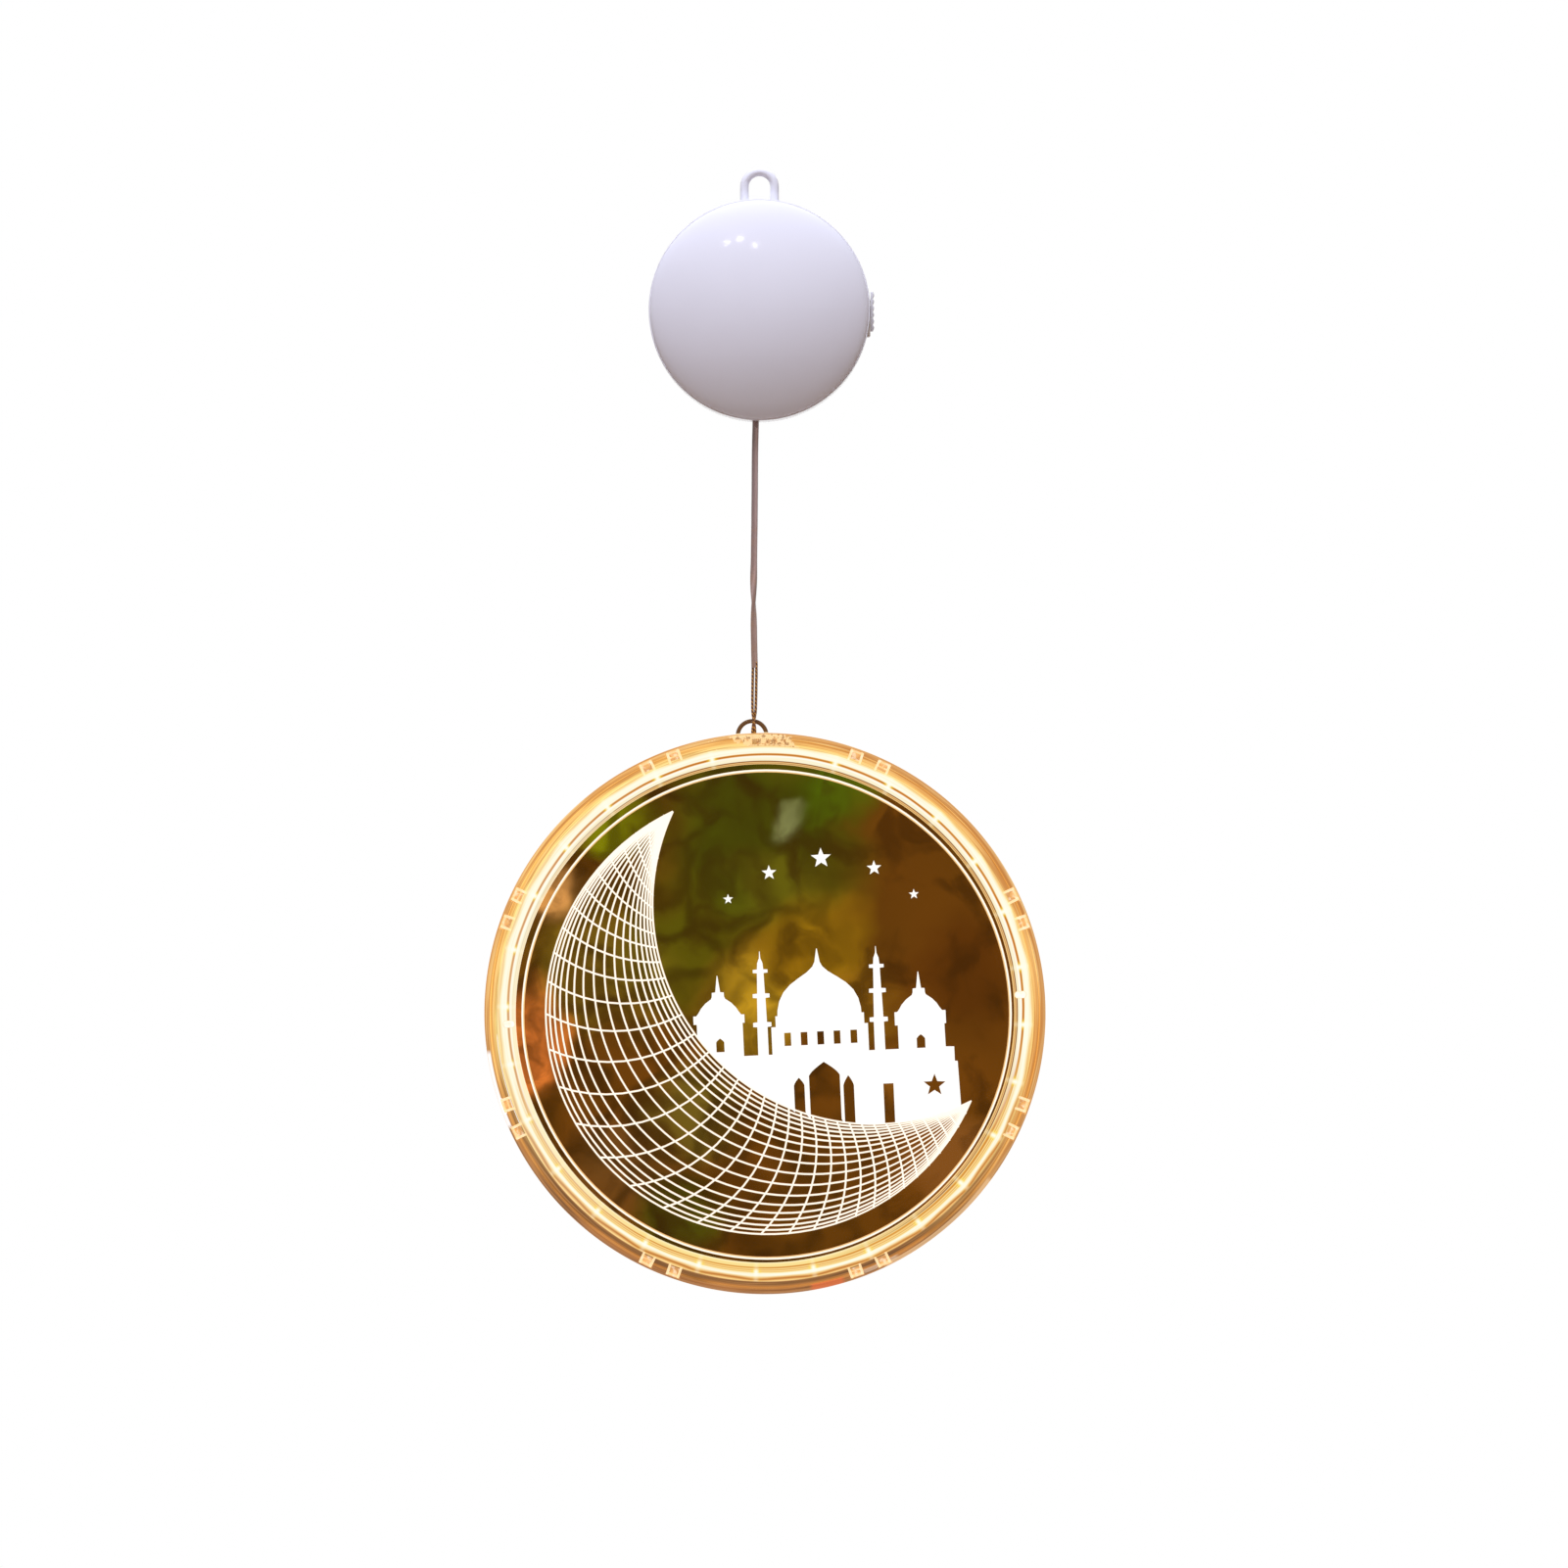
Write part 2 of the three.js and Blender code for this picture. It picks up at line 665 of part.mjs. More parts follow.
function caseScrew() {
  const seat = headSeatY;
  const top = seat + screwHeadHeight;
  const profile = [
    [0, screwTipY], [screwRadius * 0.5, screwTipY], [screwRadius, screwTipY + 1], [screwRadius, seat],
    [screwHead, seat], [screwHead, top - 0.6], [screwHead - 0.7, top], [0, top],
  ];
  const long = 1.1;
  const wide = 0.3;
  return cut(
    turned(profile, 10),
    block([-long, top - 0.7, -wide], [long, top + 1, wide]),
    block([-wide, top - 0.7, -long], [wide, top + 1, long]),
  );
}

// Lead

function leadFlex() {
  const points = flexRoute.map(([side, down]) => [outletX + side, 0, podBottomZ - down]);
  const ball = new THREE.SphereGeometry(flexRadius, 8, 6).rotateX(Math.PI / 2);
  ball.translate(outletX, 0, swingZ);
  return join(swept(through(points), flexRadius, 16, 8), solid(ball));
}

// Two bare wires, close together, that leave the flex at a bead
function leadPair() {
  const bead = (radius, x, z) =>
    solid(new THREE.SphereGeometry(radius, 8, 5).rotateX(Math.PI / 2).translate(x, 0, z));
  const wires = [-0.5, 0.5].map((side) => swept(through([
    [flexEndX + side * pairSpreadTop, 0, pairTopZ],
    [(flexEndX + pairEndX) / 2 + side * (pairSpreadTop + pairSpreadEnd) / 2, 0, (pairTopZ + pairEndZ) / 2],
    [pairEndX + side * pairSpreadEnd, 0, pairEndZ + pairWire],
  ]), pairWire, 3, 6));
  return join(
    bead(pairBall, flexEndX, pairTopZ),
    ...wires,
    bead(pairWire + pairSpreadEnd / 2, pairEndX, pairEndZ + pairWire + pairSpreadEnd / 2),
  );
}

// Pendant: in its own frame, with the middle of the ring at the origin and the loop on top

// Turns a shape about Y to stand at an angle clockwise from the top, seen from the front
function atAngle(geometry, angle) {
  return geometry.rotateY(angle * degrees);
}

function clipAngles() {
  const angles = [];
  for (let i = 0; i < clipPairs; i++) {
    const middle = clipTurn + (360 / clipPairs) * (i + 0.5);
    angles.push(middle - clipSpread / 2, middle + clipSpread / 2);
  }
  return angles;
}

// A block that stands on the circle r0, reaching to r1, at an angle
function spoke(r0, r1, width, y0, y1, angle) {
  const geometry = new THREE.BoxGeometry(width, y1 - y0, r1 - r0);
  return solid(atAngle(geometry.translate(0, (y0 + y1) / 2, (r0 + r1) / 2), angle));
}

function wireEntry() {
  const geometry = new THREE.CylinderGeometry(entryRadius, entryRadius, ringRadius - channelInner + 3, 12);
  geometry.rotateX(Math.PI / 2).translate(entryOffset, 0, (ringRadius + channelInner) / 2 + 0.5);
  return solid(geometry);
}

function ringFront() {
  const frontY = -ringHalfDepth;
  const half = ringOf([
    [flangeInner + ringEdge, frontY], [discRadius, frontY],
    [discRadius + faceGroove, frontY + faceGroove], [discRadius + 2 * faceGroove, frontY],
    [channelOuter - ringEdge, frontY],
    [channelOuter, frontY + ringEdge], [channelOuter, plateY - seatGap],
    [channelInner, plateY - seatGap], [channelInner, -plateY],
    [flangeInner + ribWidth, -plateY], [flangeInner + ribWidth, -ribY],
    [flangeInner, -ribY], [flangeInner, frontY + ringEdge],
  ], ringFacets);
  const faceY = frontY + clipInset;
  const clipEnd = ringRadius - clipSkin - seatGap;
  const clips = clipAngles().map((angle) => spoke(
    channelOuter - channelWall / 2, clipEnd, clipWidth, faceY, faceY + clipHeight, angle,
  ));
  const hollows = clipAngles().map((angle) => spoke(
    channelOuter + seatGap / 2, clipEnd - clipLeg, clipWidth - 2 * clipLeg,
    faceY - 1, faceY + clipHollow, angle,
  ));
  return cut(join(half, ...clips), ...hollows, wireEntry());
}

function ringRear() {
  const half = ringOf([
    [flangeInner, ribY], [flangeInner + ribWidth, ribY],
    [flangeInner + ribWidth, plateY], [outerWallInner, plateY],
    [outerWallInner, -ringHalfDepth + ringEdge], [ringRadius - ringEdge, -ringHalfDepth + ringEdge],
    [ringRadius, -ringHalfDepth + 2 * ringEdge], [ringRadius, ringHalfDepth - ringEdge],
    [ringRadius - ringEdge, ringHalfDepth], [flangeInner + ringEdge, ringHalfDepth],
    [flangeInner, ringHalfDepth - ringEdge],
  ], ringFacets);
  const pockets = clipAngles().map((angle) => spoke(
    outerWallInner - 0.5, ringRadius - clipSkin, clipWidth + 2 * seatGap,
    -ringHalfDepth - 1, -ringHalfDepth + clipInset + clipHeight + seatGap, angle,
  ));
  const loop = hoop(ringLoopRadius, ringLoopBar, 0, ringLoopY, ringRadius - 0.6, outerWall / 2, 16);
  return cut(join(half, loop), ...pockets, wireEntry());
}

function acrylicDisc() {
  const radius = discRadius - seatGap;
  return solid(new THREE.CylinderGeometry(radius, radius, discThickness, ringFacets));
}

// An arc round the ring's middle, from angle a0 to a1, clockwise from the top
class RingArc extends THREE.Curve {
  constructor(radius, a0, a1) {
    super();
    Object.assign(this, { radius, a0, a1 });
  }
  getPoint(t) {
    const angle = (this.a0 + (this.a1 - this.a0) * t) * degrees;
    return new THREE.Vector3(this.radius * Math.sin(angle), 0, this.radius * Math.cos(angle));
  }
}

function ledString() {
  const lastLamp = firstLamp + lampPitch * (lampCount - 1);
  const gap = (seatGap / lampCircle) / degrees;
  const wire = swept(
    new RingArc(lampCircle, spliceAngles[1] + gap, lastLamp + 0.6), stringRadius, 2 * lampCount, 4,
  );
  const half = lampRadius * lampStretch;
  const lamps = [];
  for (let i = 0; i < lampCount; i++) {
    const drop = new THREE.LatheGeometry([
      [0, -half], [lampRadius, -0.4 * half], [lampRadius, 0.4 * half], [0, half],
    ].map(([r, y]) => new THREE.Vector2(r, y)), 6);
    drop.rotateZ(Math.PI / 2).translate(0, 0, lampCircle);
    lamps.push(solid(atAngle(drop, firstLamp + lampPitch * i)));
  }
  return join(wire, ...lamps);
}

// The sleeve over the joint between the lead and the string, with the lead's end standing in the entry
function leadSplice() {
  const sleeve = swept(new RingArc(lampCircle, ...spliceAngles), spliceRadius, 8, 6);
  const riser = rodZ(pairWire * 2.4, entryOffset, 0, lampCircle, ringRadius - seatGap - pairWire, 8);
  return join(sleeve, riser);
}

// Assembly

const pod = new THREE.Group();
pod.position.set(0, 0, podZ);
pod.add(
  part('front_cover', frontCover(), whitePlastic),
  part('rear_shell', rearShell(), whitePlastic),
  part('battery_door', batteryDoor(), whitePlastic),
  part('switch_body', switchBody(), switchPlastic),
  part('switch_knob', switchKnob(), switchPlastic),
  part('circuit_board', circuitBoard(), boardGreen),
  part('timer_chip', timerChip(), chipBlack),
  part('resistor', resistor(), resistorTan),
  part('flex_tail', flexTail(), smokyFlex),
  part('cord_stop', cordStop(), stopRubber),
  part('negative_wire', innerWire(-1, [[-0.96, -0.72], [-0.46, -0.4], [0.46, -0.22]], -0.19), blackWire),
  part('positive_wire', innerWire(1, [[1.05, 0.72], [1.3, 0.48]], 0.32), redWire),
);

// The outer cells stand button up, the middle one button down
for (const [i, side] of [-1, 0, 1].entries()) {
  const piece = part(`cell_${i + 1}`, cell(), cellSleeve);
  const down = side === 0;
  const low = -trayHalfLength + 2 * seatGap + contactThickness;
  const reach = springHeight + seatGap;
  piece.position.set(side * cellPitch, cellY, down ? -low - reach : low + reach);
  if (down) piece.rotation.x = Math.PI;
  pod.add(piece);

  const spring = part(`contact_spring_${i + 1}`, contactSpring(), nickel);
  spring.position.set(side * cellPitch, cellY, down ? -low : low);
  if (down) spring.rotation.x = Math.PI;
  pod.add(spring);
}

const contactZ = trayHalfLength - seatGap - contactThickness / 2;
const contacts = [
  ['contact_negative', contactPlate(-cellPitch, -cellPitch, -cellPitch), -contactZ],
  ['contact_bridge_lower', contactPlate(0, cellPitch), -contactZ],
  ['contact_bridge_upper', contactPlate(-cellPitch, 0), contactZ],
  ['contact_positive', contactPlate(cellPitch, cellPitch, cellPitch), contactZ],
];
for (const [name, shape, z] of contacts) {
  const piece = part(name, shape, nickel);
  piece.position.z = z;
  pod.add(piece);
}

screwPlaces().forEach(([x, z], i) => {
  const piece = part(`case_screw_${i + 1}`, caseScrew(), steel);
  piece.position.set(x, 0, z);
  pod.add(piece);
});

const pendant = new THREE.Group();
pendant.position.set(ringX, 0, ringZ);
pendant.rotation.y = -tilt;
pendant.add(
  part('ring_front', ringFront(), ringClear),
  part('ring_rear', ringRear(), ringClear),
  part('acrylic_disc', acrylicDisc(), discAmber),
  part('led_string', ledString(), lampWarm),
  part('lead_splice', leadSplice(), spliceSleeve),
);

const light = new THREE.Group();
light.add(
  pod,
  part('lead_flex', leadFlex(), smokyFlex),
  part('lead_pair', leadPair(), copper),
  pendant,
);

export default light;
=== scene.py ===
import math

import bmesh
import bpy
from mathutils import Matrix, Vector


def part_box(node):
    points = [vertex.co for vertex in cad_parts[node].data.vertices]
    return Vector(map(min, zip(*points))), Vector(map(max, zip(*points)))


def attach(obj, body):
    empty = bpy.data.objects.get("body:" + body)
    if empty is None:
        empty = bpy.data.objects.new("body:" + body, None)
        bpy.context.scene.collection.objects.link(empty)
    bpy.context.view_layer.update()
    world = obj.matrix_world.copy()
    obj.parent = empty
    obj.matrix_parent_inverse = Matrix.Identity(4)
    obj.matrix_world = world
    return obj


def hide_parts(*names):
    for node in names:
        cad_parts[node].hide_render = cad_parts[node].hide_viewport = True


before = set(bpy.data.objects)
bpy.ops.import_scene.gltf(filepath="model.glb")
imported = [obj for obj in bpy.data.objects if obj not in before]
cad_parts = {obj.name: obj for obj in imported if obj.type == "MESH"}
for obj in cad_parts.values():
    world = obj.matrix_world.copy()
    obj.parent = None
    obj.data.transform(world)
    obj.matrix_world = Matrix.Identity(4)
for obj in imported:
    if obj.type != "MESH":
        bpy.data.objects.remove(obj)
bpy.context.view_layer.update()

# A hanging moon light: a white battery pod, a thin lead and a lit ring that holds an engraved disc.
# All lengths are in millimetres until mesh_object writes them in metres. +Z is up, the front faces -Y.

MM = 0.001
bpy.context.scene.view_settings.view_transform = "Standard"


def box(node):
    """The lowest and highest corner of a CAD node in millimetres."""
    low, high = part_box(node)
    return low / MM, high / MM


def srgb(red, green, blue):
    """A colour as seen on a screen, 0 to 255, as the linear values that the shaders take."""
    values = [channel / 255 for channel in (red, green, blue)]
    return tuple(v / 12.92 if v <= 0.04045 else ((v + 0.055) / 1.055) ** 2.4 for v in values)


def at(x, y, z):
    """A place in millimetres as a matrix."""
    return Matrix.Translation(Vector((x, y, z)) * MM)


def link(thing):
    bpy.context.scene.collection.objects.link(thing)
    return thing


# Places taken from the CAD parts

cover_low, cover_high = box("front_cover")
shell_low, shell_high = box("rear_shell")
door_low, door_high = box("battery_door")
disc_low, disc_high = box("acrylic_disc")
switch_low, switch_high = box("switch_body")
knob_low, knob_high = box("switch_knob")

pod_radius = (cover_high.x - cover_low.x) / 2
pod_z = (cover_high.z + cover_low.z) / 2
pod_bottom = pod_z - pod_radius
dome_front = cover_low.y
cover_back = cover_high.y
shell_rim = shell_low.y
shell_back = shell_high.y

PENDANT_TILT = 2.65  # degrees, anticlockwise as seen from the front
POD = at(0, 0, pod_z)
PENDANT = at((disc_low.x + disc_high.x) / 2, 0, (disc_low.z + disc_high.z) / 2)
PENDANT = PENDANT @ Matrix.Rotation(math.radians(-PENDANT_TILT), 4, "Y")
WORLD = Matrix.Identity(4)


# Camera

VIEW_WIDTH = 446.7  # what the picture's width covers at the pendant's front
VIEW_CENTRE = (7.0, -173.5)
PENDANT_FRONT = -5.5
LENS = 200
SENSOR = 36


def make_camera():
    data = bpy.data.cameras.new("camera")
    data.lens = LENS
    data.sensor_width = SENSOR
    camera = link(bpy.data.objects.new("camera", data))
    x, z = VIEW_CENTRE
    camera.location = Vector((x, PENDANT_FRONT - VIEW_WIDTH * LENS / SENSOR, z)) * MM
    camera.rotation_euler = (math.pi / 2, 0, 0)
    bpy.context.scene.camera = camera


make_camera()


# Meshes. A shape is a list of vertices in millimetres and a list of faces

sharp_angles = {}


def mesh_object(name, shape, material=None, place=WORLD, sharp=32):
    """An object from a shape, smooth except at edges over the sharp angle in degrees."""
    vertices, faces = shape
    mesh = bpy.data.meshes.new(name)
    mesh.from_pydata([Vector(v) * MM for v in vertices], [], faces)
    form = bmesh.new()
    form.from_mesh(mesh)
    bmesh.ops.remove_doubles(form, verts=form.verts, dist=1e-7)
    bmesh.ops.recalc_face_normals(form, faces=form.faces)
    form.to_mesh(mesh)
    form.free()
    soften(mesh, sharp)
    if material is not None:
        mesh.materials.append(material)
    piece = link(bpy.data.objects.new(name, mesh))
    piece.matrix_world = place
    sharp_angles[piece.name] = sharp
    return piece


def soften(mesh, sharp):
    mesh.shade_smooth()
    mesh.set_sharp_from_angle(angle=math.radians(sharp))


def together(*shapes):
    """Several shapes as one."""
    vertices, faces = [], []
    for more_vertices, more_faces in shapes:
        first = len(vertices)
        vertices += list(more_vertices)
        faces += [[first + i for i in face] for face in more_faces]
    return vertices, faces


def moved(shape, x=0, y=0, z=0):
    vertices, faces = shape
    return [(a + x, b + y, c + z) for a, b, c in vertices], faces


def turned(shape, angle):
    """A shape turned about Y, by degrees clockwise as seen from the front."""
    vertices, faces = shape
    c, s = math.cos(math.radians(angle)), math.sin(math.radians(angle))
    return [(x * c + z * s, y, z * c - x * s) for x, y, z in vertices], faces


def upright(shape):
    """A shape made along Y, stood up so that its y points up."""
    vertices, faces = shape
    return [(x, -z, y) for x, y, z in vertices], faces


def turned_down(shape):
    """A shape made along Y, laid so that its y points down."""
    vertices, faces = shape
    return [(x, z, -y) for x, y, z in vertices], faces


def along_x(shape):
    """A shape made along Y, laid along X: its x becomes y."""
    vertices, faces = shape
    return [(y, x, z) for x, y, z in vertices], faces


def fillet(corners, steps=4):
    """A closed outline from (x, y, radius) corners, with an arc of that radius at each corner."""
    points = []
    for i, (x, y, radius) in enumerate(corners):
        here = Vector((x, y))
        before = Vector(corners[i - 1][:2]) - here
        after = Vector(corners[(i + 1) % len(corners)][:2]) - here
        if radius <= 0:
            points.append(here)
            continue
        reach = min(radius / math.tan(before.angle(after) / 2), before.length * 0.49, after.length * 0.49)
        start = here + before.normalized() * reach
        end = here + after.normalized() * reach
        for k in range(steps + 1):
            t = k / steps
            points.append(start.lerp(here, t).lerp(here.lerp(end, t), t))
    return [tuple(p) for p in points]


def arc(x, y, radius, start, end, steps):
    """Points on an arc, with the angles in degrees anticlockwise from the first axis."""
    angles = [math.radians(start + (end - start) * i / steps) for i in range(steps + 1)]
    return [(x + radius * math.cos(a), y + radius * math.sin(a)) for a in angles]


def circle(x, y, radius, steps):
    return arc(x, y, radius, 0, 360 - 360 / steps, steps - 1)


def revolve(profile, steps):
    """A closed outline of (radius, y) points turned about the Y axis."""
    vertices, rings, faces = [], [], []
    for radius, y in profile:
        first = len(vertices)
        if radius < 1e-6:
            vertices.append((0, y, 0))
            rings.append([first] * steps)
            continue
        for i in range(steps):
            a = 2 * math.pi * i / steps
            vertices.append((radius * math.sin(a), y, radius * math.cos(a)))
        rings.append(list(range(first, first + steps)))
    for here, there in zip(rings, rings[1:] + rings[:1]):
        for i in range(steps):
            j = (i + 1) % steps
            face = list(dict.fromkeys([here[i], here[j], there[j], there[i]]))
            if len(face) > 2:
                faces.append(face)
    return vertices, faces


def skin(rows, count, loop=False):
    """Faces over rows of points, each row closed: the rows too run in a loop, or else the ends are capped."""
    faces = []
    for i in range(rows if loop else rows - 1):
        here, there = i * count, (i + 1) % rows * count
        for j in range(count):
            k = (j + 1) % count
            faces.append([here + j, here + k, there + k, there + j])
    if loop:
        return faces
    last = (rows - 1) * count
    return faces + [list(range(count)), list(range(last, last + count))]


def loft(rings):
    """A form through closed outlines of (x, z) points, each with its own y, closed at both ends."""
    vertices = [(x, y, z) for outline, y in rings for x, z in outline]
    return vertices, skin(len(rings), len(rings[0][0]))


def extrude(outline, y0, y1):
    """A closed outline of (x, z) points as a plate between two values of y."""
    return loft([(outline, y0), (outline, y1)])


def rectangle(x0, z0, x1, z1):
    return [(x0, z0), (x1, z0), (x1, z1), (x0, z1)]


def block(low, high):
    (x0, y0, z0), (x1, y1, z1) = low, high
    return extrude(rectangle(x0, z0, x1, z1), y0, y1)


def round_rect(half_width, half_length, corner, steps=8):
    """A rectangle with round corners, about the origin."""
    w, l = half_width - corner, half_length - corner
    points = []
    for i, (x, z) in enumerate(((w, l), (-w, l), (-w, -l), (w, -l))):
        points += arc(x, z, corner, 90 * i, 90 * i + 90, steps)
    return points


def rod(radius, x, z, y0, y1):
    return extrude(circle(x, z, radius, 48), y0, y1)


def sweep(path, sections):
    """A tube: one section of (across, over) offsets for each point of the path, closed at both ends."""
    vertices = []
    side = None
    for i, point in enumerate(path):
        ahead = path[min(i + 1, len(path) - 1)] - path[max(i - 1, 0)]
        ahead.normalize()
        if side is None:
            side = ahead.orthogonal()
        side = (side - ahead * side.dot(ahead)).normalized()
        over = ahead.cross(side)
        vertices += [tuple(point + side * a + over * b) for a, b in sections[i]]
    return vertices, skin(len(path), len(sections[0]))


def tube(path, radius, sides=12):
    """A round tube along a path, with its two ends drawn in to a dome."""
    path = [Vector(p) for p in path]
    first = (path[0] - path[1]).normalized()
    last = (path[-1] - path[-2]).normalized()
    caps = [(0.45, 0.85), (0.8, 0.5), (0.95, 0.2)]  # how far out, and how wide there
    start = [path[0] + first * radius * lift for lift, _ in reversed(caps)]
    end = [path[-1] + last * radius * lift for lift, _ in caps]
    widths = [w for _, w in reversed(caps)] + [1] * len(path) + [w for _, w in caps]
    sections = [[(a * w, b * w) for a, b in circle(0, 0, radius, sides)] for w in widths]
    return sweep(start + path + end, sections)


def smooth_path(points, steps):
    """A smooth curve through points, with some steps between each two."""
    points = [Vector(p) for p in points]
    line = [2 * points[0] - points[1], *points, 2 * points[-1] - points[-2]]
    path = []
    for a, b, c, d in zip(line, line[1:], line[2:], line[3:]):
        for k in range(steps):
            t = k / steps
            curve = (2 * a - 5 * b + 4 * c - d) * t * t + (3 * b - a - 3 * c + d) * t * t * t
            path.append(0.5 * (2 * b + (c - a) * t + curve))
    return path + points[-1:]


def combine(piece, operation, *tools):
    """Cuts or joins a piece with shapes in the piece's own place, one after another."""
    for tool in tools:
        helper = mesh_object("helper", tool, None, piece.matrix_world)
        step = piece.modifiers.new("combine", "BOOLEAN")
        step.operation = operation
        step.solver = "EXACT"
        step.object = helper
        bpy.context.view_layer.update()
        made = bpy.data.meshes.new_from_object(piece.evaluated_get(bpy.context.evaluated_depsgraph_get()))
        piece.modifiers.clear()
        piece.data = made
        soften(made, sharp_angles[piece.name])
        bpy.data.objects.remove(helper)
    return piece


def cut(piece, *tools):
    return combine(piece, "DIFFERENCE", *tools)


def join(piece, *tools):
    return combine(piece, "UNION", *tools)


def dress(piece, body, slot, *nodes):
    """A finished piece rides on its body and stands for its CAD nodes, which are hidden. The slot is not
    used.
    """
    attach(piece, body)
    if nodes:
        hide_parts(*nodes)
    return piece


# Materials

BLACK = (0.0, 0.0, 0.0)
SMOOTH = "SMOOTHSTEP"


class Nodes:
    """Builds the nodes of a new material with a Principled shader at its end, or those of a world."""

    def __init__(self, name, world=None):
        self.material = world or bpy.data.materials.new(name)
        self.material.use_nodes = True
        self.tree = self.material.node_tree
        self.shader = self.tree.nodes["Background" if world else "Principled BSDF"]
        self.place = self.add("ShaderNodeTexCoord").outputs["Generated" if world else "Object"]

    def add(self, kind, inputs=None, **settings):
        node = self.tree.nodes.new(kind)
        for name, value in settings.items():
            setattr(node, name, value)
        for key, value in (inputs or {}).items():
            self.put(node.inputs[key], value)
        return node

    def put(self, socket, value):
        if isinstance(value, bpy.types.NodeSocket):
            self.tree.links.new(value, socket)
        else:
            socket.default_value = rgba(value) if socket.type == "RGBA" else value

    def set(self, **values):
        """Sets the shader's sockets by name, with _ for a space."""
        for name, value in values.items():
            self.put(self.shader.inputs[name.replace("_", " ")], value)
        return self

    def axis(self, name):
        """The place's coordinate X, Y or Z."""
        return self.add("ShaderNodeSeparateXYZ", {0: self.place}).outputs[name]

    def math(self, operation, *values):
        return self.add("ShaderNodeMath", dict(enumerate(values)), operation=operation).outputs[0]

    def times(self, first, second):
        return self.math("MULTIPLY", first, second)

    def plus(self, first, second):
        return self.math("ADD", first, second)

    def minus(self, first, second):
        return self.math("SUBTRACT", first, second)

    def size(self, value):
        return self.math("ABSOLUTE", value)

    def length(self, first, second):
        """The length of the vector with these two coordinates."""
        return self.math("SQRT", self.plus(self.times(first, first), self.times(second, second)))

    def noise(self, scale, detail=2, rough=0.5, place=None):
        inputs = {"Vector": place or self.place, "Scale": scale, "Detail": detail, "Roughness": rough}
        return self.add("ShaderNodeTexNoise", inputs).outputs[0]

    def span(self, value, low, high, to_low=0.0, to_high=1.0, kind="LINEAR"):
        keys = {0: value, 1: low, 2: high, 3: to_low, 4: to_high}
        return self.add("ShaderNodeMapRange", keys, interpolation_type=kind).outputs[0]

    def mix(self, share, first, second):
        return self.add("ShaderNodeMix", {0: share, 6: first, 7: second}, data_type="RGBA").outputs[2]

    def ramp(self, value, stops):
        """A colour ramp with (position, screen colour) stops."""
        node = self.add("ShaderNodeValToRGB", {0: value})
        elements = node.color_ramp.elements
        while len(elements) < len(stops):
            elements.new(0.5)
        for element, (position, colour) in zip(elements, stops):
            element.position = position
            element.color = rgba(srgb(*colour))
        return node.outputs[0]

    def bump(self, height, strength, distance):
        inputs = {"Height": height, "Strength": strength, "Distance": distance * MM}
        return self.set(Normal=self.add("ShaderNodeBump", inputs).outputs[0])


def rgba(colour):
    return (*colour, 1) if isinstance(colour, tuple) and len(colour) == 3 else colour


def per_mm(features):
    """A texture scale that gives about this many features in a millimetre."""
    return features / MM


def surface(name, light, dark, roughness, grain=0.4, bump=0.0, patches=0.02, **sockets):
    """A plain finish: two close colours in soft patches, a roughness that varies, and a fine grain."""
    nodes = Nodes(name)
    patch = nodes.span(nodes.noise(per_mm(patches), 3), 0.35, 0.65)
    nodes.set(Base_Color=nodes.mix(patch, srgb(*dark), srgb(*light)))
    nodes.set(Roughness=nodes.span(nodes.noise(per_mm(patches * 3), 4), 0.3, 0.7, *roughness))
    if bump:
        nodes.bump(nodes.noise(per_mm(grain), 3), bump, 0.05)
    return nodes.set(**sockets).material


pod_white = surface(
    "pod white plastic", (240, 239, 246), (236, 235, 242), (0.09, 0.11), 1.2, 0.05, Specular_IOR_Level=0.3,
)
switch_white = surface("switch plastic", (230, 229, 234), (222, 220, 226), (0.38, 0.5), 3, 0.25, 0.1)
frame_beige = surface("switch frame plastic", (226, 216, 208), (220, 210, 200), (0.38, 0.5), 3, 0.25, 0.1)
board_green = surface("board green", (34, 112, 62), (24, 92, 50), (0.35, 0.5), 2, 0.3, 0.3)
chip_black = surface("chip black", (30, 30, 33), (20, 20, 22), (0.5, 0.65), 5, 0.3, 0.5)
resistor_tan = surface("resistor tan", (206, 176, 124), (190, 158, 108), (0.5, 0.6), 4, 0.2, 0.5)
stop_rubber = surface("stop rubber", (92, 86, 82), (80, 75, 71), (0.7, 0.85), 4, 0.4, 0.5)
wire_black = surface("black wire", (38, 38, 40), (28, 28, 30), (0.4, 0.5), 3, 0.2, 0.4)
wire_red = surface("red wire", (176, 50, 42), (158, 42, 36), (0.4, 0.5), 3, 0.2, 0.4)
contact_nickel = surface(
    "contact nickel", (206, 203, 194), (188, 185, 177), (0.22, 0.38), 6, 0.25, 0.6, Metallic=1.0,
)
screw_steel = surface(
    "screw steel", (176, 177, 180), (150, 151, 155), (0.25, 0.42), 8, 0.3, 0.8, Metallic=1.0,
)
tail_smoky = surface("smoky flex inside", (150, 122, 116), (132, 106, 100), (0.3, 0.42), 2, 0.2, 0.3)
splice_sleeve = surface("splice sleeve", (232, 214, 178), (216, 190, 146), (0.5, 0.6), 3, 0.2, 0.3)


def cell_sleeve_material():
    """A battery's printed sleeve: dark blue-grey, with a lighter band near the button end."""
    nodes = Nodes("cell sleeve")
    band = nodes.ramp(nodes.span(nodes.axis("Z"), 0.0, 44.5 * MM), [
        (0.0, (52, 62, 76)), (0.7, (58, 68, 82)), (0.705, (196, 176, 120)), (1.0, (206, 186, 130)),
    ])
    nodes.set(Base_Color=band, Metallic=0.6)
    return nodes.set(Roughness=nodes.span(nodes.noise(per_mm(0.3), 3), 0.3, 0.7, 0.25, 0.4)).material


cell_sleeve = cell_sleeve_material()


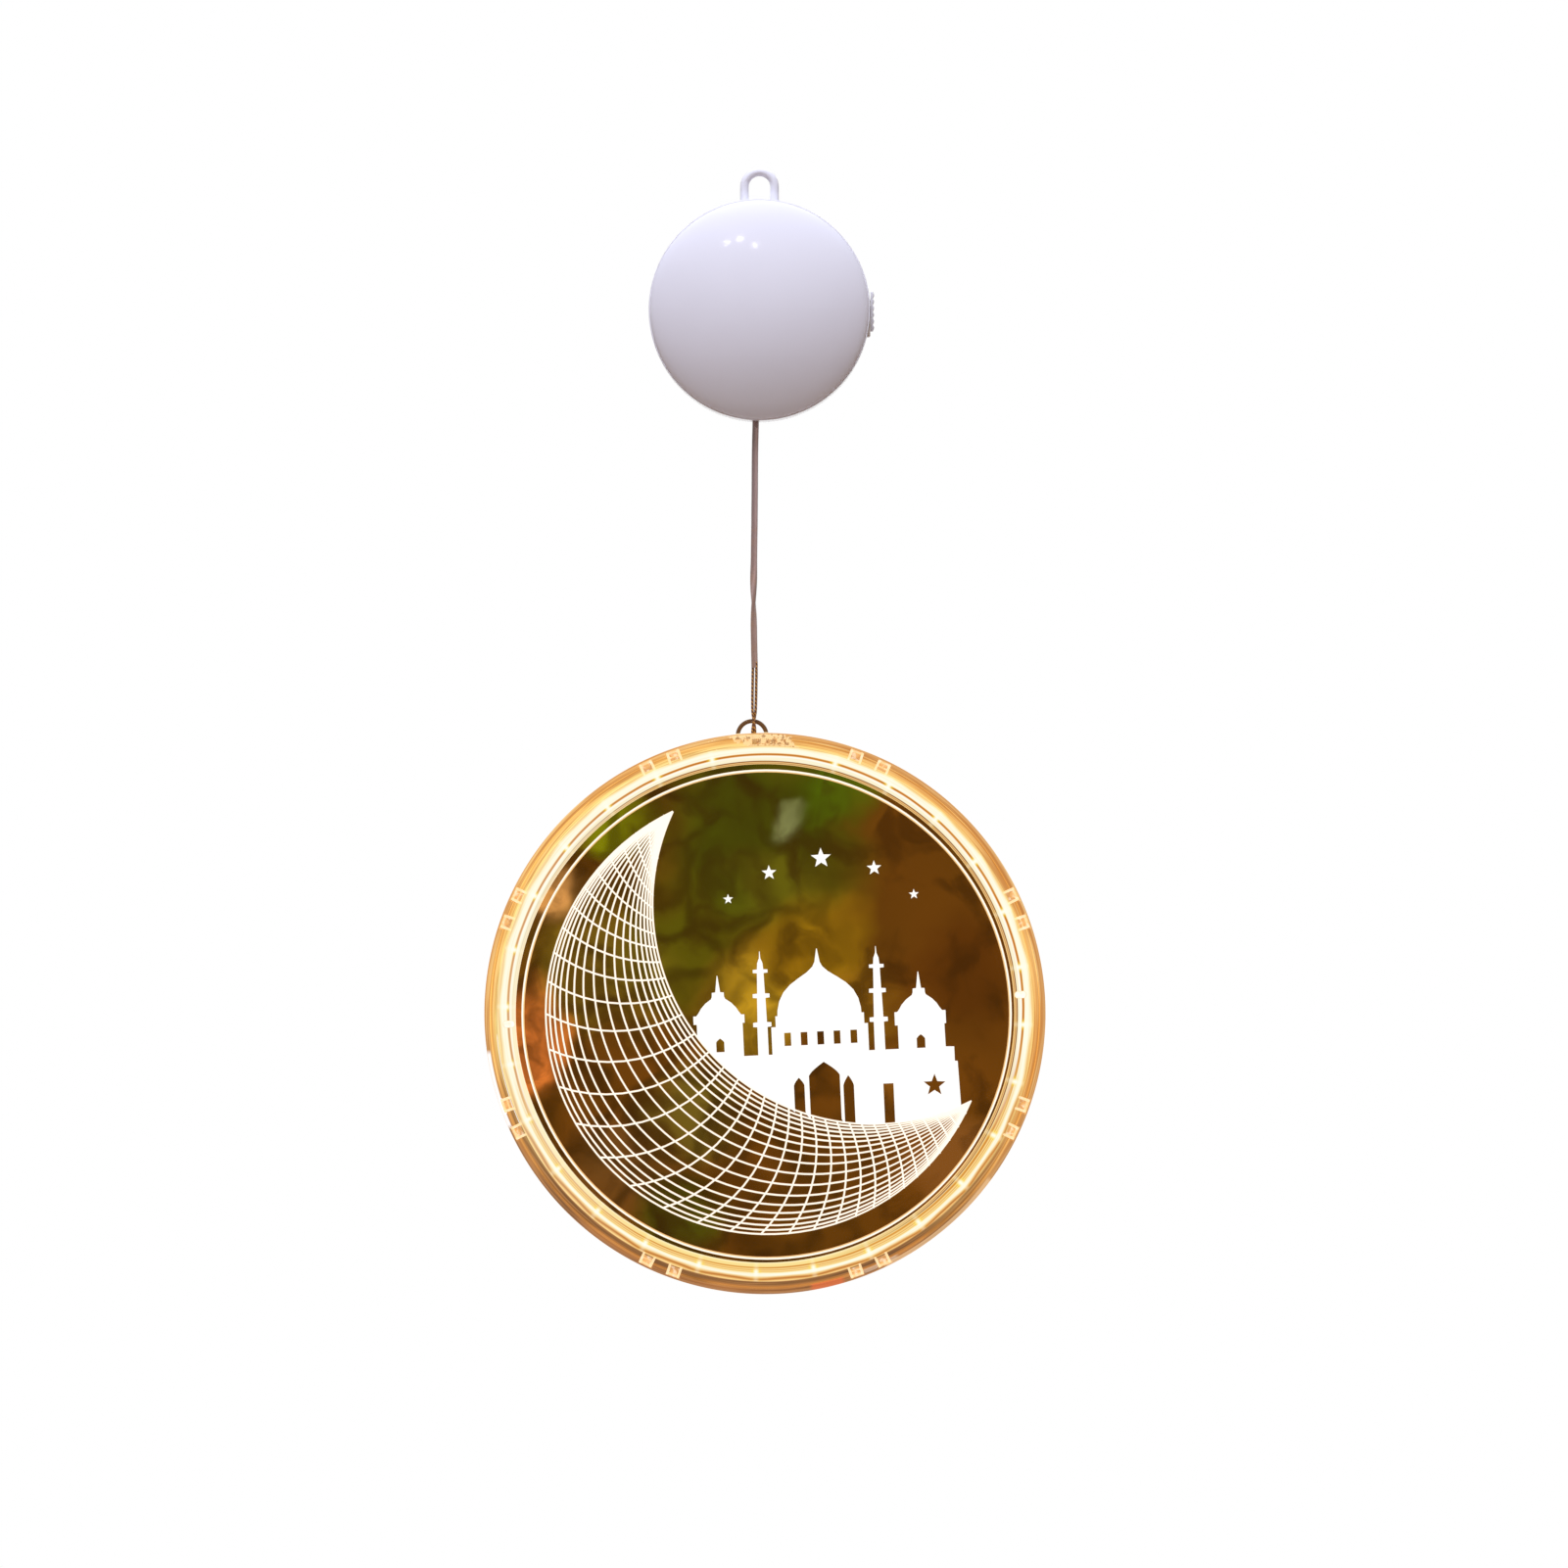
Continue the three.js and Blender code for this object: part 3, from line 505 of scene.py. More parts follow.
# Lead: the flex's route as (sideways, down) from its outlet, the same points as the CAD's

OUTLET_X = -1.1
FLEX_ROUTE = [
    (0, 1.3), (-0.1, 5), (-0.19, 10), (-0.23, 15), (-0.25, 20), (-0.3, 25), (-0.34, 30), (-0.42, 35),
    (-0.48, 40), (-0.56, 45), (-0.6, 50), (-0.55, 55), (-0.49, 60), (-0.4, 65), (-0.28, 70.4),
]
FLEX_WIDTH = 2
STRAND_RADIUS = 0.6
FLEX_TURN = (0.55, 0.85)  # the stretch of its length where the two strands change sides
PAIR_LENGTH = 18.7
PAIR_LEAN = -0.25
PAIR_WIRE = 0.4
PIVOT_DROP = 1.1  # from the flex's end down to where the pair bends
GAP = 0.3


def flex_section(turn):
    """Two strands with a web between them, turned by an angle, and each point's way from the middle."""
    offset = FLEX_WIDTH / 2 - STRAND_RADIUS
    points = []
    for side in (1, -1):
        for a in range(-120, 121, 20):
            angle = math.radians(a)
            x = side * (offset + STRAND_RADIUS * math.cos(angle))
            points.append((x, side * STRAND_RADIUS * math.sin(angle)))
    c, s = math.cos(turn), math.sin(turn)
    return [(x * c - y * s, x * s + y * c) for x, y in points], [abs(x) for x, _ in points]


def flex_material():
    """Smoky translucent insulation: the strands are mauve-brown and paler in the web, with painted shade
    darker outside and a painted warm glow towards the lit ring.
    """
    nodes = Nodes("smoky flex")
    across = nodes.add("ShaderNodeAttribute", attribute_name="across").outputs["Fac"]
    # Darker towards the outer edge of each strand: painted shade.
    colour = nodes.ramp(across, [
        (0.0, (206, 178, 172)), (0.25, (196, 166, 160)), (0.55, (160, 134, 130)), (1.0, (126, 102, 98)),
    ])
    # Warmer towards the lower end, beside the lit ring: painted glow of the ring, with random warmer spots.
    warm = nodes.span(nodes.axis("Z"), (pod_bottom - 66) * MM, (pod_bottom - 20) * MM, 0.45, 0.0)
    spots = nodes.span(nodes.noise(per_mm(0.3), 3), 0.56, 0.7, 0.0, 0.25)
    colour = nodes.mix(nodes.plus(warm, spots), colour, srgb(176, 132, 96))
    nodes.set(Base_Color=colour, Specular_IOR_Level=0.5, Coat_Weight=0.4, Coat_Roughness=0.15)
    nodes.set(Roughness=nodes.span(nodes.noise(per_mm(0.8), 3), 0.3, 0.7, 0.25, 0.4))
    return nodes.bump(nodes.noise(per_mm(1.5), 2), 0.15, 0.05).material


def make_flex():
    path = smooth_path([(OUTLET_X + side, 0, pod_bottom - down) for side, down in FLEX_ROUTE], 12)
    sections, shares = [], []
    start, end = FLEX_TURN
    for i in range(len(path)):
        t = min(1, max(0, (i / (len(path) - 1) - start) / (end - start)))
        section, share = flex_section(0.15 + math.pi * t * t * (3 - 2 * t))
        sections.append(section)
        shares += share
    piece = mesh_object("flex", sweep(path, sections), flex_material())
    across = piece.data.attributes.new("across", "FLOAT", "POINT")
    for value, share in zip(across.data, shares):
        value.value = share / (FLEX_WIDTH / 2)
    dress(piece, "lead", "flex_smoky", "lead_flex")
    return piece, path


def litz_material():
    """Fine stranded wire under clear lacquer: brown copper with bright golden dots between its turns."""
    nodes = Nodes("litz wire")
    inputs = {"Vector": nodes.place, "Scale": per_mm(0.55), "Distortion": 1.5, "Detail": 1}
    wave = nodes.add("ShaderNodeTexWave", inputs, wave_type="BANDS", bands_direction="DIAGONAL").outputs[0]
    colour = nodes.ramp(wave, [
        (0.0, (84, 42, 6)), (0.5, (118, 66, 12)), (0.8, (160, 100, 30)), (1.0, (214, 160, 72)),
    ])
    nodes.set(Base_Color=colour, Metallic=0.2, Coat_Weight=0.2, Coat_Roughness=0.2)
    return nodes.set(Roughness=nodes.span(wave, 0, 1, 0.45, 0.3)).bump(wave, 0.5, 0.08).material


def make_wire_pair(flex_end, material):
    """Two wires that run apart from the flex's end, pass the ring's loop and meet at the ring's entry."""
    top = flex_end.z - PIVOT_DROP
    bottom = flex_end.z - GAP - PAIR_LENGTH
    wires = []
    for side in (-1, 1):
        points = []
        for i in range(25):
            t = i / 24
            apart = 0.52 - 0.24 * max(0, t - 0.4)
            turn = math.pi * max(0, 2.4 * t - 1.45)
            x = flex_end.x + PAIR_LEAN * t + side * apart * math.cos(turn)
            points.append((x, side * apart * math.sin(turn) * 0.7, top + (bottom + 0.4 - top) * t))
        wires.append(tube(points, PAIR_WIRE, 10))
    piece = mesh_object("wire_pair_strands", together(*wires), material)
    return dress(piece, "wire_pair", "wire_copper", "lead_pair")


def make_wire_ends(flex_end, material):
    """The two wires where they come out of the flex, down to where the pair bends."""
    wires = []
    for side in (-0.5, 0.5):
        points = [(flex_end.x + side, 0, flex_end.z + lift) for lift in (1.5, 0, -PIVOT_DROP)]
        wires.append(tube(points, PAIR_WIRE, 10))
    return dress(mesh_object("wire_ends", together(*wires), material), "lead", "wire_copper")


def make_outlet_bend():
    """The flex's first bit in the pod's outlet, with a round end about which the flex swings."""
    top, end = pod_bottom + 1, pod_bottom - FLEX_ROUTE[0][1]
    points = [(OUTLET_X, 0, top + (end - top) * i / 4) for i in range(5)]
    return dress(mesh_object("flex_at_outlet", tube(points, 0.93, 20), tail_smoky), "pod", "flex_smoky")


flex, flex_path = make_flex()
litz = litz_material()
wire_pair = make_wire_pair(flex_path[-1], litz)
make_wire_ends(flex_path[-1], litz)
make_outlet_bend()


# Pod: in its own place, with its middle at x = z = 0

POD_WALL = 1.5
BACK_EDGE = 1.2
RIM_BAND = 1
RIM_STEP = 0.4
POD_STEPS = 180
POD_SHARP = 25
DOME_CAP = 0.6  # how much of the dome's outline is a cap's
LOOP_BAR = 1.25
LOOP_MIDDLE = 4.3  # radius of the hanging loop's middle line


def half_dome(radius, base, height, steps):
    """A dome's outline from its middle outwards: between a half ellipse and a shallow cap."""
    points = []
    for i in range(steps + 1):
        a = math.radians(90 * i / steps)
        rise = (1 - DOME_CAP) * math.cos(a) + DOME_CAP * math.cos(a) ** 2
        points.append((radius * math.sin(a), base - height * rise))
    return points


def make_cover():
    """The front cover: a shallow dome that ends in a fine line before its straight band."""
    base = cover_back - RIM_BAND
    height = base - dome_front
    outside = half_dome(pod_radius - RIM_STEP, base, height, 28)
    line = fillet([
        (pod_radius - RIM_STEP, base, 0.05), (pod_radius, base, 0.2), (pod_radius, cover_back, 0.1),
        (pod_radius - POD_WALL, cover_back, 0.1), (0, dome_front + POD_WALL, 0),
    ], 3)[1:-1]
    inside = half_dome(pod_radius - POD_WALL - RIM_STEP, base, height - POD_WALL, 20)[::-1]
    piece = mesh_object("dome_cover", revolve(outside + line + inside, POD_STEPS), pod_white, POD, POD_SHARP)
    return dress(piece, "pod", "pod_white", "front_cover")


def hang_loop():
    """The moulded loop: a round bar up, over and down again."""
    top = shell_high.z - pod_z - LOOP_BAR - LOOP_MIDDLE
    foot = pod_radius - 1
    over = arc(0, top, LOOP_MIDDLE, 0, 180, 28)[1:-1]
    path = [(LOOP_MIDDLE, foot), (LOOP_MIDDLE, top), *over, (-LOOP_MIDDLE, top), (-LOOP_MIDDLE, foot)]
    return tube([(x, 0, z) for x, z in path], LOOP_BAR, 20)


make_cover()


# Rear shell

LIP_RISE = 0.9  # the lip inside the seam, which hides it from within
TRAY_WALL = 1.2
DOOR_THICKNESS = 1.5
DOOR_CORNER = 3.7
EDGE = 0.35
TAB_X = 5.4
SCREW_RADIUS = 1
SCREW_HEAD = 2.1
SCREW_SEAT = shell_back - 1.7
SCREW_NODES = [f"case_screw_{i}" for i in (1, 2, 3, 4)]

door_half_width = (door_high.x - door_low.x) / 2
door_top = door_high.z - pod_z
door_inner = shell_back - DOOR_THICKNESS
tray_half_width = door_half_width - 0.6
tray_half_length = door_top - 0.6
tray_floor = shell_rim + TRAY_WALL
switch_y = (switch_high.y + switch_low.y) / 2
switch_z = (switch_high.z + switch_low.z) / 2 - pod_z
switch_half_y = (switch_high.y - switch_low.y) / 2 - 0.5
switch_half_z = (switch_high.z - switch_low.z) / 2


def bar(half_width, half_length, corner, y0, y1):
    return extrude(round_rect(half_width, half_length, corner), y0, y1)


def bevelled(half_width, half_length, corner, y0, y1, inset):
    """A bar with a bevel of two steps at its far end, where its corners are smaller by the inset."""
    return loft([
        (round_rect(half_width, half_length, corner), y0),
        (round_rect(half_width, half_length, corner), y1 - EDGE),
        (round_rect(half_width - 0.3 * EDGE, half_length - 0.3 * EDGE, corner), y1 - 0.3 * EDGE),
        (round_rect(half_width - EDGE, half_length - EDGE, corner - inset), y1),
    ])


def square_bar(x, z, half_x, half_z, corner, y0, y1):
    """A bar with square or slightly rounded corners about (x, z)."""
    corners = ((-1, -1), (1, -1), (1, 1), (-1, 1))
    return extrude(fillet([(x + half_x * i, z + half_z * j, corner) for i, j in corners]), y0, y1)


def screw_places():
    """Each screw's place across the pod's back."""
    places = []
    for node in SCREW_NODES:
        low, high = box(node)
        places.append(((low.x + high.x) / 2, (low.z + high.z) / 2 - pod_z))
    return places


def shell_cup():
    """The bare cup, with a lip inside its rim."""
    inside = pod_radius - POD_WALL
    return revolve(fillet([
        (0, shell_back, 0), (pod_radius, shell_back, BACK_EDGE), (pod_radius, shell_rim, 0.1),
        (inside - 0.6, shell_rim, 0.05), (inside - 0.6, shell_rim - LIP_RISE, 0.1),
        (inside - 1.2, shell_rim - LIP_RISE, 0.1), (inside - 1.2, shell_rim + 0.8, 0.1),
        (inside, shell_rim + 1.6, 0.1), (inside, shell_back - POD_WALL, 0.6), (0, shell_back - POD_WALL, 0),
    ], 6), POD_STEPS)


def screw_recess(x, z):
    """A screw's hole, its seat and the slight bevel round its mouth."""
    hole, seat = SCREW_RADIUS + GAP, SCREW_HEAD + GAP
    mouth = seat + GAP
    recess = revolve([
        (0, shell_rim - 1), (hole, shell_rim - 1), (hole, SCREW_SEAT - GAP), (seat, SCREW_SEAT - GAP),
        (seat, shell_back - 0.25), (mouth, shell_back + 0.05), (mouth, shell_back + 1), (0, shell_back + 1),
    ], 40)
    return moved(recess, x, 0, z)


def make_shell():
    """The rear shell: a cup with the cells' tray, the screws' bosses and the hanging loop."""
    piece = mesh_object("moulded_shell", shell_cup(), pod_white, POD, POD_SHARP)
    back = shell_back - POD_WALL / 2
    outer_x = tray_half_width + TRAY_WALL
    outer_z = math.sqrt((pod_radius - POD_WALL / 2) ** 2 - outer_x ** 2)
    tray = square_bar(0, 0, outer_x, outer_z, 0.2, shell_rim, back)
    bosses = [rod(2.6, x, z, shell_rim, back) for x, z in screw_places()]
    join(piece, tray, *bosses, hang_loop())

    cavity = block(
        (-tray_half_width, tray_floor, -tray_half_length), (tray_half_width, shell_back + 1, tray_half_length)
    )
    mouth = []
    for n, y in ((1, door_inner - GAP), (1, shell_back - 0.25), (2, shell_back + 0.05), (2, shell_back + 1)):
        more = n * GAP
        mouth.append((round_rect(door_half_width + more, door_top + more, DOOR_CORNER + more), y))
    outlet = revolve([(0, -2), (1.4, -2), (1.4, 1.2), (1.9, 1.7), (1.9, 3), (0, 3)], 32)
    thumb = revolve(arc(0, shell_back + 15.2, 16, -90, -60, 8) + [(0, shell_back + 1.34)], 96)
    cut(
        piece, cavity, loft(mouth), *[screw_recess(x, z) for x, z in screw_places()], switch_window(),
        moved(turned_down(outlet), OUTLET_X, 0, -pod_radius + 1.5), moved(thumb, 0, 0, door_top + 1.2),
    )
    foot = -tray_half_length
    for x in (-TAB_X, TAB_X):
        cut(piece, block((x - 2.1, 6.1, foot - 2.2), (x + 2.1, door_inner, foot + 1)))
        join(piece, square_bar(x, 0, 0.6, tray_half_length / 2, 0.3, tray_floor - 0.6, tray_floor + 2.6))
    return dress(piece, "pod", "pod_white", "rear_shell")


def switch_window():
    """The opening for the switch."""
    hole = bar(switch_half_y + GAP, switch_half_z + GAP, 0.7, 26, pod_radius + 1)
    return moved(along_x(hole), 0, switch_y, switch_z)


make_shell()


# Battery door


def make_door():
    """The door: a bevelled plate with grip grooves near its top and two tabs below."""
    plate = bevelled(door_half_width, door_top, DOOR_CORNER, door_inner, shell_back, EDGE)
    piece = mesh_object("moulded_door", plate, pod_white, POD, POD_SHARP)
    for i in range(4):
        z = door_top - 5 - 2 * i
        groove = []
        above = shell_back + 0.5
        for end, depth in ((-6, 0.02), (-5.5, 0.5), (5.5, 0.5), (6, 0.02)):
            groove.append(([(shell_back - depth, z), (above, z + 0.8), (above, z - 0.8)], end))
        cut(piece, along_x(loft(groove)))
    foot = -door_top
    for x in (-TAB_X, TAB_X):
        hook = extrude(fillet([
            (x - 1.8, foot - 1.4, 0.6), (x + 1.8, foot - 1.4, 0.6), (x + 1.8, foot + 0.8, 0.1),
            (x - 1.8, foot + 0.8, 0.1),
        ]), door_low.y, door_low.y + 1)
        neck = block((x - 1.8, door_low.y + 0.1, foot + 0.05), (x + 1.8, door_inner + 0.5, foot + 0.75))
        join(piece, hook, neck)
    return dress(piece, "door", "pod_white", "battery_door")


make_door()


# Slide switch

SWITCH_BODY_DEPTH = 5.7
KNOB_GAP = 0.08
KNOB_EDGE = 0.18
RIB_HEIGHT = 0.32
RIBS = 6


def make_switch():
    """The switch's frame in its window, its body behind and the slot for the knob."""
    inner = switch_low.x + SWITCH_BODY_DEPTH
    frame_form = bevelled(switch_half_y, switch_half_z, 0.5, inner - 0.5, switch_high.x, 0.2)
    piece = mesh_object("switch_frame", along_x(frame_form), frame_beige, POD @ at(0, switch_y, switch_z))
    join(piece, along_x(bar(switch_half_y + 0.5, switch_half_z - 0.6, 0.3, switch_low.x, inner)))
    cut(piece, along_x(bar(1.4, 3.7, 0.3, inner + 0.3, switch_high.x + 1)))
    return dress(piece, "pod", "switch_white", "switch_body")


def make_knob():
    """The knob: a plate with six round ribs across its face, on a stem."""
    base = switch_high.x + KNOB_GAP
    plate = knob_high.x - base - RIB_HEIGHT
    height = knob_high.z - knob_low.z
    half_y = (knob_high.y - knob_low.y) / 2

    def side(inset):
        outline = [(base, height / 2 - inset), (base, inset - height / 2)]
        steps = 12 * RIBS
        for i in range(steps + 1):
            t = i / steps
            rib = 0.5 + 0.5 * math.cos(2 * math.pi * (RIBS * t - 0.5))
            lift = plate + RIB_HEIGHT * rib - inset
            outline.append((base + max(lift, 0.2), (t - 0.5) * (height - 2 * inset)))
        return outline

    form = loft([
        (side(KNOB_EDGE), -half_y), (side(0.3 * KNOB_EDGE), -half_y + 0.3 * KNOB_EDGE),
        (side(0), -half_y + KNOB_EDGE), (side(0), half_y - KNOB_EDGE),
        (side(0.3 * KNOB_EDGE), half_y - 0.3 * KNOB_EDGE), (side(KNOB_EDGE), half_y),
    ])
    place = at(0, (knob_high.y + knob_low.y) / 2, (knob_high.z + knob_low.z) / 2)
    piece = mesh_object("ribbed_knob", form, switch_white, place, 30)
    join(piece, along_x(bar(1.1, 1.6, 0.2, knob_low.x, base + 0.2)))
    return dress(piece, "knob", "switch_white", "switch_knob")


make_switch()
make_knob()


# Screws, cells, springs and the other pieces inside

SPRING_WIRE = 0.25
SPRING_TURNS = 3.5
SPRING_RADII = (3.3, 1.5)


def make_screw(node, x, z, turn):
    """A screw with a round head and a cross in it."""
    low, _ = box(node)
    top = SCREW_SEAT + 1.4
    profile = fillet([
        (0, low.y, 0), (0.5, low.y, 0.1), (SCREW_RADIUS, low.y + 1, 0.2), (SCREW_RADIUS, SCREW_SEAT, 0.05),
        (SCREW_HEAD, SCREW_SEAT, 0.1), (SCREW_HEAD, top - 0.4, 0.6), (1.2, top, 0.6), (0, top, 0),
    ], 5)
    piece = mesh_object(f"cross_screw_{node[-1]}", revolve(profile, 40), screw_steel, POD @ at(x, 0, z))
    slit = extrude(rectangle(-1.15, -0.26, 1.15, 0.26), top - 0.7, top + 1)
    cut(piece, turned(slit, turn), turned(slit, turn + 90))
    return dress(piece, "pod", "screw_steel", node)


def on_cell(node, cell, upside_down):
    """A place on a cell's axis at the lower end of a node, or head down at its upper end."""
    low, high = box(node)
    cell_low, cell_high = box(cell)
    x, y = (cell_low.x + cell_high.x) / 2, (cell_low.y + cell_high.y) / 2
    if upside_down:
        return at(x, y, high.z) @ Matrix.Rotation(math.pi, 4, "X")
    return at(x, y, low.z)


def make_cell(number):
    """A cell: a sleeved can with a crimped shoulder and a button, with its flat end at z = 0."""
    node = f"cell_{number}"
    low, high = box(node)
    radius = (high.x - low.x) / 2
    shoulder = high.z - low.z - 1
    profile = fillet([
        (0, 0, 0), (3.6, 0, 0.2), (3.9, 0.25, 0.2), (radius - 0.2, 0.25, 0.4), (radius, 0.9, 0.3),
        (radius, shoulder - 1.1, 0.3), (radius - 0.25, shoulder - 0.7, 0.3),
        (radius - 0.15, shoulder - 0.1, 0.3), (3.4, shoulder, 0.3), (3.2, shoulder - 0.35, 0.2),
        (1.9, shoulder - 0.3, 0.2), (1.9, shoulder + 1, 0.4), (0, shoulder + 1, 0),
    ], 4)
    place = on_cell(node, node, number == 2)
    piece = mesh_object(f"sleeved_{node}", upright(revolve(profile, 72)), cell_sleeve, place)
    return dress(piece, "pod", "cell_sleeve", node)


def make_spring(number):
    """A conical spring of round wire between the plate and the cell's flat end."""
    node = f"contact_spring_{number}"
    low, high = box(node)
    height = high.z - low.z - 2 * SPRING_WIRE
    wide, narrow = SPRING_RADII
    path = []
    steps = 110
    for i in range(steps + 1):
        t = i / steps
        turn = 2 * math.pi * SPRING_TURNS * t
        radius = wide + (narrow - wide) * t
        lift = SPRING_WIRE + height * min(1, max(0, (t - 0.1) / 0.85))
        path.append((radius * math.cos(turn), radius * math.sin(turn), lift))
    place = on_cell(node, f"cell_{number}", number == 2)
    piece = mesh_object(f"coil_{node}", tube(path, SPRING_WIRE, 10), contact_nickel, place)
    return dress(piece, "pod", "contact_nickel", node)


for i, (x, z) in enumerate(screw_places()):
    make_screw(SCREW_NODES[i], x, z, 17 + 31 * i)
for i in (1, 2, 3):
    make_cell(i)
    make_spring(i)

INNER_FINISHES = {
    "circuit_board": board_green,
    "timer_chip": chip_black,
    "resistor": resistor_tan,
    "flex_tail": tail_smoky,
    "cord_stop": stop_rubber,
    "negative_wire": wire_black,
    "positive_wire": wire_red,
    "contact_negative": contact_nickel,
    "contact_bridge_lower": contact_nickel,
    "contact_bridge_upper": contact_nickel,
    "contact_positive": contact_nickel,
}
for name, material in INNER_FINISHES.items():
    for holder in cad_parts[name].material_slots:
        holder.link = "OBJECT"
        holder.material = material


# Pendant: in its own place, with the ring's middle at the origin and its loop on top

RING_RADIUS = 80
FLANGE_INNER = 71.1
CHANNEL_INNER = 75.4
CHANNEL_OUTER = 76.7
OUTER_INNER = 78.4
RING_STEPS = 288
RING_SHARP = 40
RING_LOOP = (4.08, 79.4, 0.62)  # the small loop's radius, the height of its middle and its bar's radius
DISC_RADIUS = 72.2
DISC_HALF = 1.5
LAMP_CIRCLE = 73.95
LAMP_COUNT = 27
LAMP_PITCH = 12.79
FIRST_LAMP = 18.35
LAMP_LENGTH = 3
CLIP_TURN = 2.65
CLIP_SPREAD = 6.1
CLIP_WIDTH = 4
CLIP_LEG = 0.8
CLIP_FOOT = 76.05
CLIP_TOP = 79.4
CLIP_FRONT = -4.6
CLIP_BACK = -3
MARK_ANGLES = (88.4, 270.3)  # two moulded marks on the face, at the ring's sides
MARK_CIRCLE = 73
SPLICE_ANGLES = (-6.5, 14.5)
ENTRY_OFFSET = 0.5


def from_centre(nodes):
    """The distance from the pendant's middle in millimetres, and the degrees clockwise from its top."""
    x, z = nodes.axis("X"), nodes.axis("Z")
    return nodes.math("DIVIDE", nodes.length(x, z), MM), nodes.math("DEGREES", nodes.math("ARCTAN2", x, z))


def lamp_nearness(nodes, angle, reach):
    """1 beside a lamp, 0 at the reach from it (in lamp pitches), and 0 where the ring has none."""
    turns = nodes.math("DIVIDE", nodes.minus(angle, FIRST_LAMP), LAMP_PITCH)
    number = nodes.math("WRAP", turns, 360 / LAMP_PITCH - 0.5, -0.5)
    there = nodes.span(number, LAMP_COUNT - 0.6, LAMP_COUNT - 0.4, 1, 0)
    near = nodes.math("PINGPONG", nodes.plus(number, 1), 0.5)
    return nodes.times(nodes.span(near, 0.0, reach, 1, 0, SMOOTH), there)


def toward(nodes, angle, middle, low, high, *to):
    """A span of the cosine of the angle from a direction: 1 there and -1 on the ring's far side."""
    cosine = nodes.math("COSINE", nodes.math("RADIANS", nodes.minus(angle, middle)))
    return nodes.span(cosine, low, high, *to)


def painted_light_streaks(nodes, radius, fine, *strength):
    """Streaks of painted light and shade that run lengthwise round the ring."""
    far = nodes.times(radius, MM)
    ways = [nodes.math("DIVIDE", nodes.axis(name), far) for name in "XZ"]
    inputs = {0: ways[0], 1: nodes.times(radius, fine), 2: ways[1]}
    place = nodes.add("ShaderNodeCombineXYZ", inputs).outputs[0]
    return nodes.span(nodes.noise(3.0, 3, place=place), *strength)


def radial_ramp(nodes, radius, stops):
    """Colours by radius, from 70 to 81 millimetres."""
    return nodes.ramp(nodes.span(radius, 70, 81), [((r - 70) / 11, colour) for r, colour in stops])


def radial_mix(nodes, share, radius, first, second):
    return nodes.mix(share, radial_ramp(nodes, radius, first), radial_ramp(nodes, radius, second))


# The painted light on the ring's face by radius, towards its top and below: the lamps' glow, painted as
# emission
UPPER_LIGHT = [
    (71.0, (246, 214, 150)), (71.3, (236, 186, 110)), (71.45, (150, 84, 18)), (71.6, (250, 214, 150)),
    (71.76, (214, 150, 70)), (71.86, (110, 56, 6)), (72.0, (150, 84, 16)), (72.16, (250, 240, 200)),
    (72.3, (255, 252, 238)), (72.7, (255, 253, 240)), (72.86, (236, 178, 92)), (73.0, (194, 108, 10)),
    (73.28, (190, 106, 10)), (73.44, (240, 188, 98)), (73.6, (255, 252, 232)), (74.4, (254, 252, 228)),
    (74.75, (254, 250, 228)), (75.0, (253, 243, 204)), (75.25, (250, 230, 172)), (75.5, (240, 196, 128)),
    (75.75, (238, 192, 118)), (76.1, (250, 220, 140)), (76.5, (250, 228, 144)),
]
LOWER_LIGHT = [
    (71.0, (250, 238, 190)), (71.4, (253, 230, 158)), (71.8, (250, 222, 140)), (72.1, (250, 226, 150)),
    (72.35, (236, 180, 92)), (72.6, (206, 132, 40)), (72.8, (214, 142, 50)), (73.0, (252, 220, 146)),
    (73.2, (248, 208, 128)), (73.42, (224, 160, 70)), (73.65, (254, 228, 156)), (73.9, (238, 186, 92)),
    (74.15, (254, 234, 170)), (74.45, (254, 252, 230)), (74.9, (254, 250, 226)), (75.15, (248, 220, 160)),
    (75.4, (230, 172, 98)), (75.75, (184, 108, 34)), (76.0, (216, 152, 76)), (76.3, (240, 196, 122)),
    (76.55, (250, 210, 136)),
]
EDGE_END = 72.2
GOLD_LINE = 73.8
# The wall's painted glow by radius, towards its top, its right and below: painted light above, painted shade
# below
UPPER_WALL_PAINTED_LIGHT = [
    (76.4, (250, 232, 150)), (77.0, (248, 224, 140)), (77.7, (244, 196, 110)), (78.4, (232, 172, 88)),
    (79.0, (218, 152, 74)), (79.5, (232, 182, 108)), (80.0, (196, 134, 70)),
]
RIGHT_WALL_PAINTED_LIGHT = [
    (76.4, (250, 216, 132)), (77.0, (238, 188, 106)), (77.7, (222, 162, 84)), (78.4, (200, 138, 66)),
    (79.0, (194, 126, 54)), (79.5, (210, 156, 92)), (80.0, (180, 124, 64)),
]
LOWER_WALL_PAINTED_SHADE = [
    (76.4, (162, 106, 58)), (76.9, (134, 92, 48)), (77.7, (136, 90, 40)), (78.3, (178, 118, 60)),
    (78.9, (168, 104, 46)), (79.4, (176, 122, 74)), (80.0, (138, 90, 50)),
]
# Painted reflections of its surroundings on the wall: middle and half width in degrees, radii, strength and
# colour
WALL_PAINTED_REFLECTIONS = [
    (256.7, 8, 78.9, 80.3, 0.95, (255, 255, 255)),
    (258, 10, 76.4, 77.4, 0.85, (255, 252, 244)),
    (169.6, 3.4, 76.9, 79.9, 0.7, (226, 108, 56)),
    (159, 5, 77.3, 79.2, 0.5, (214, 192, 166)),
    (143, 14, 78.8, 79.9, 0.6, (240, 200, 150)),
]


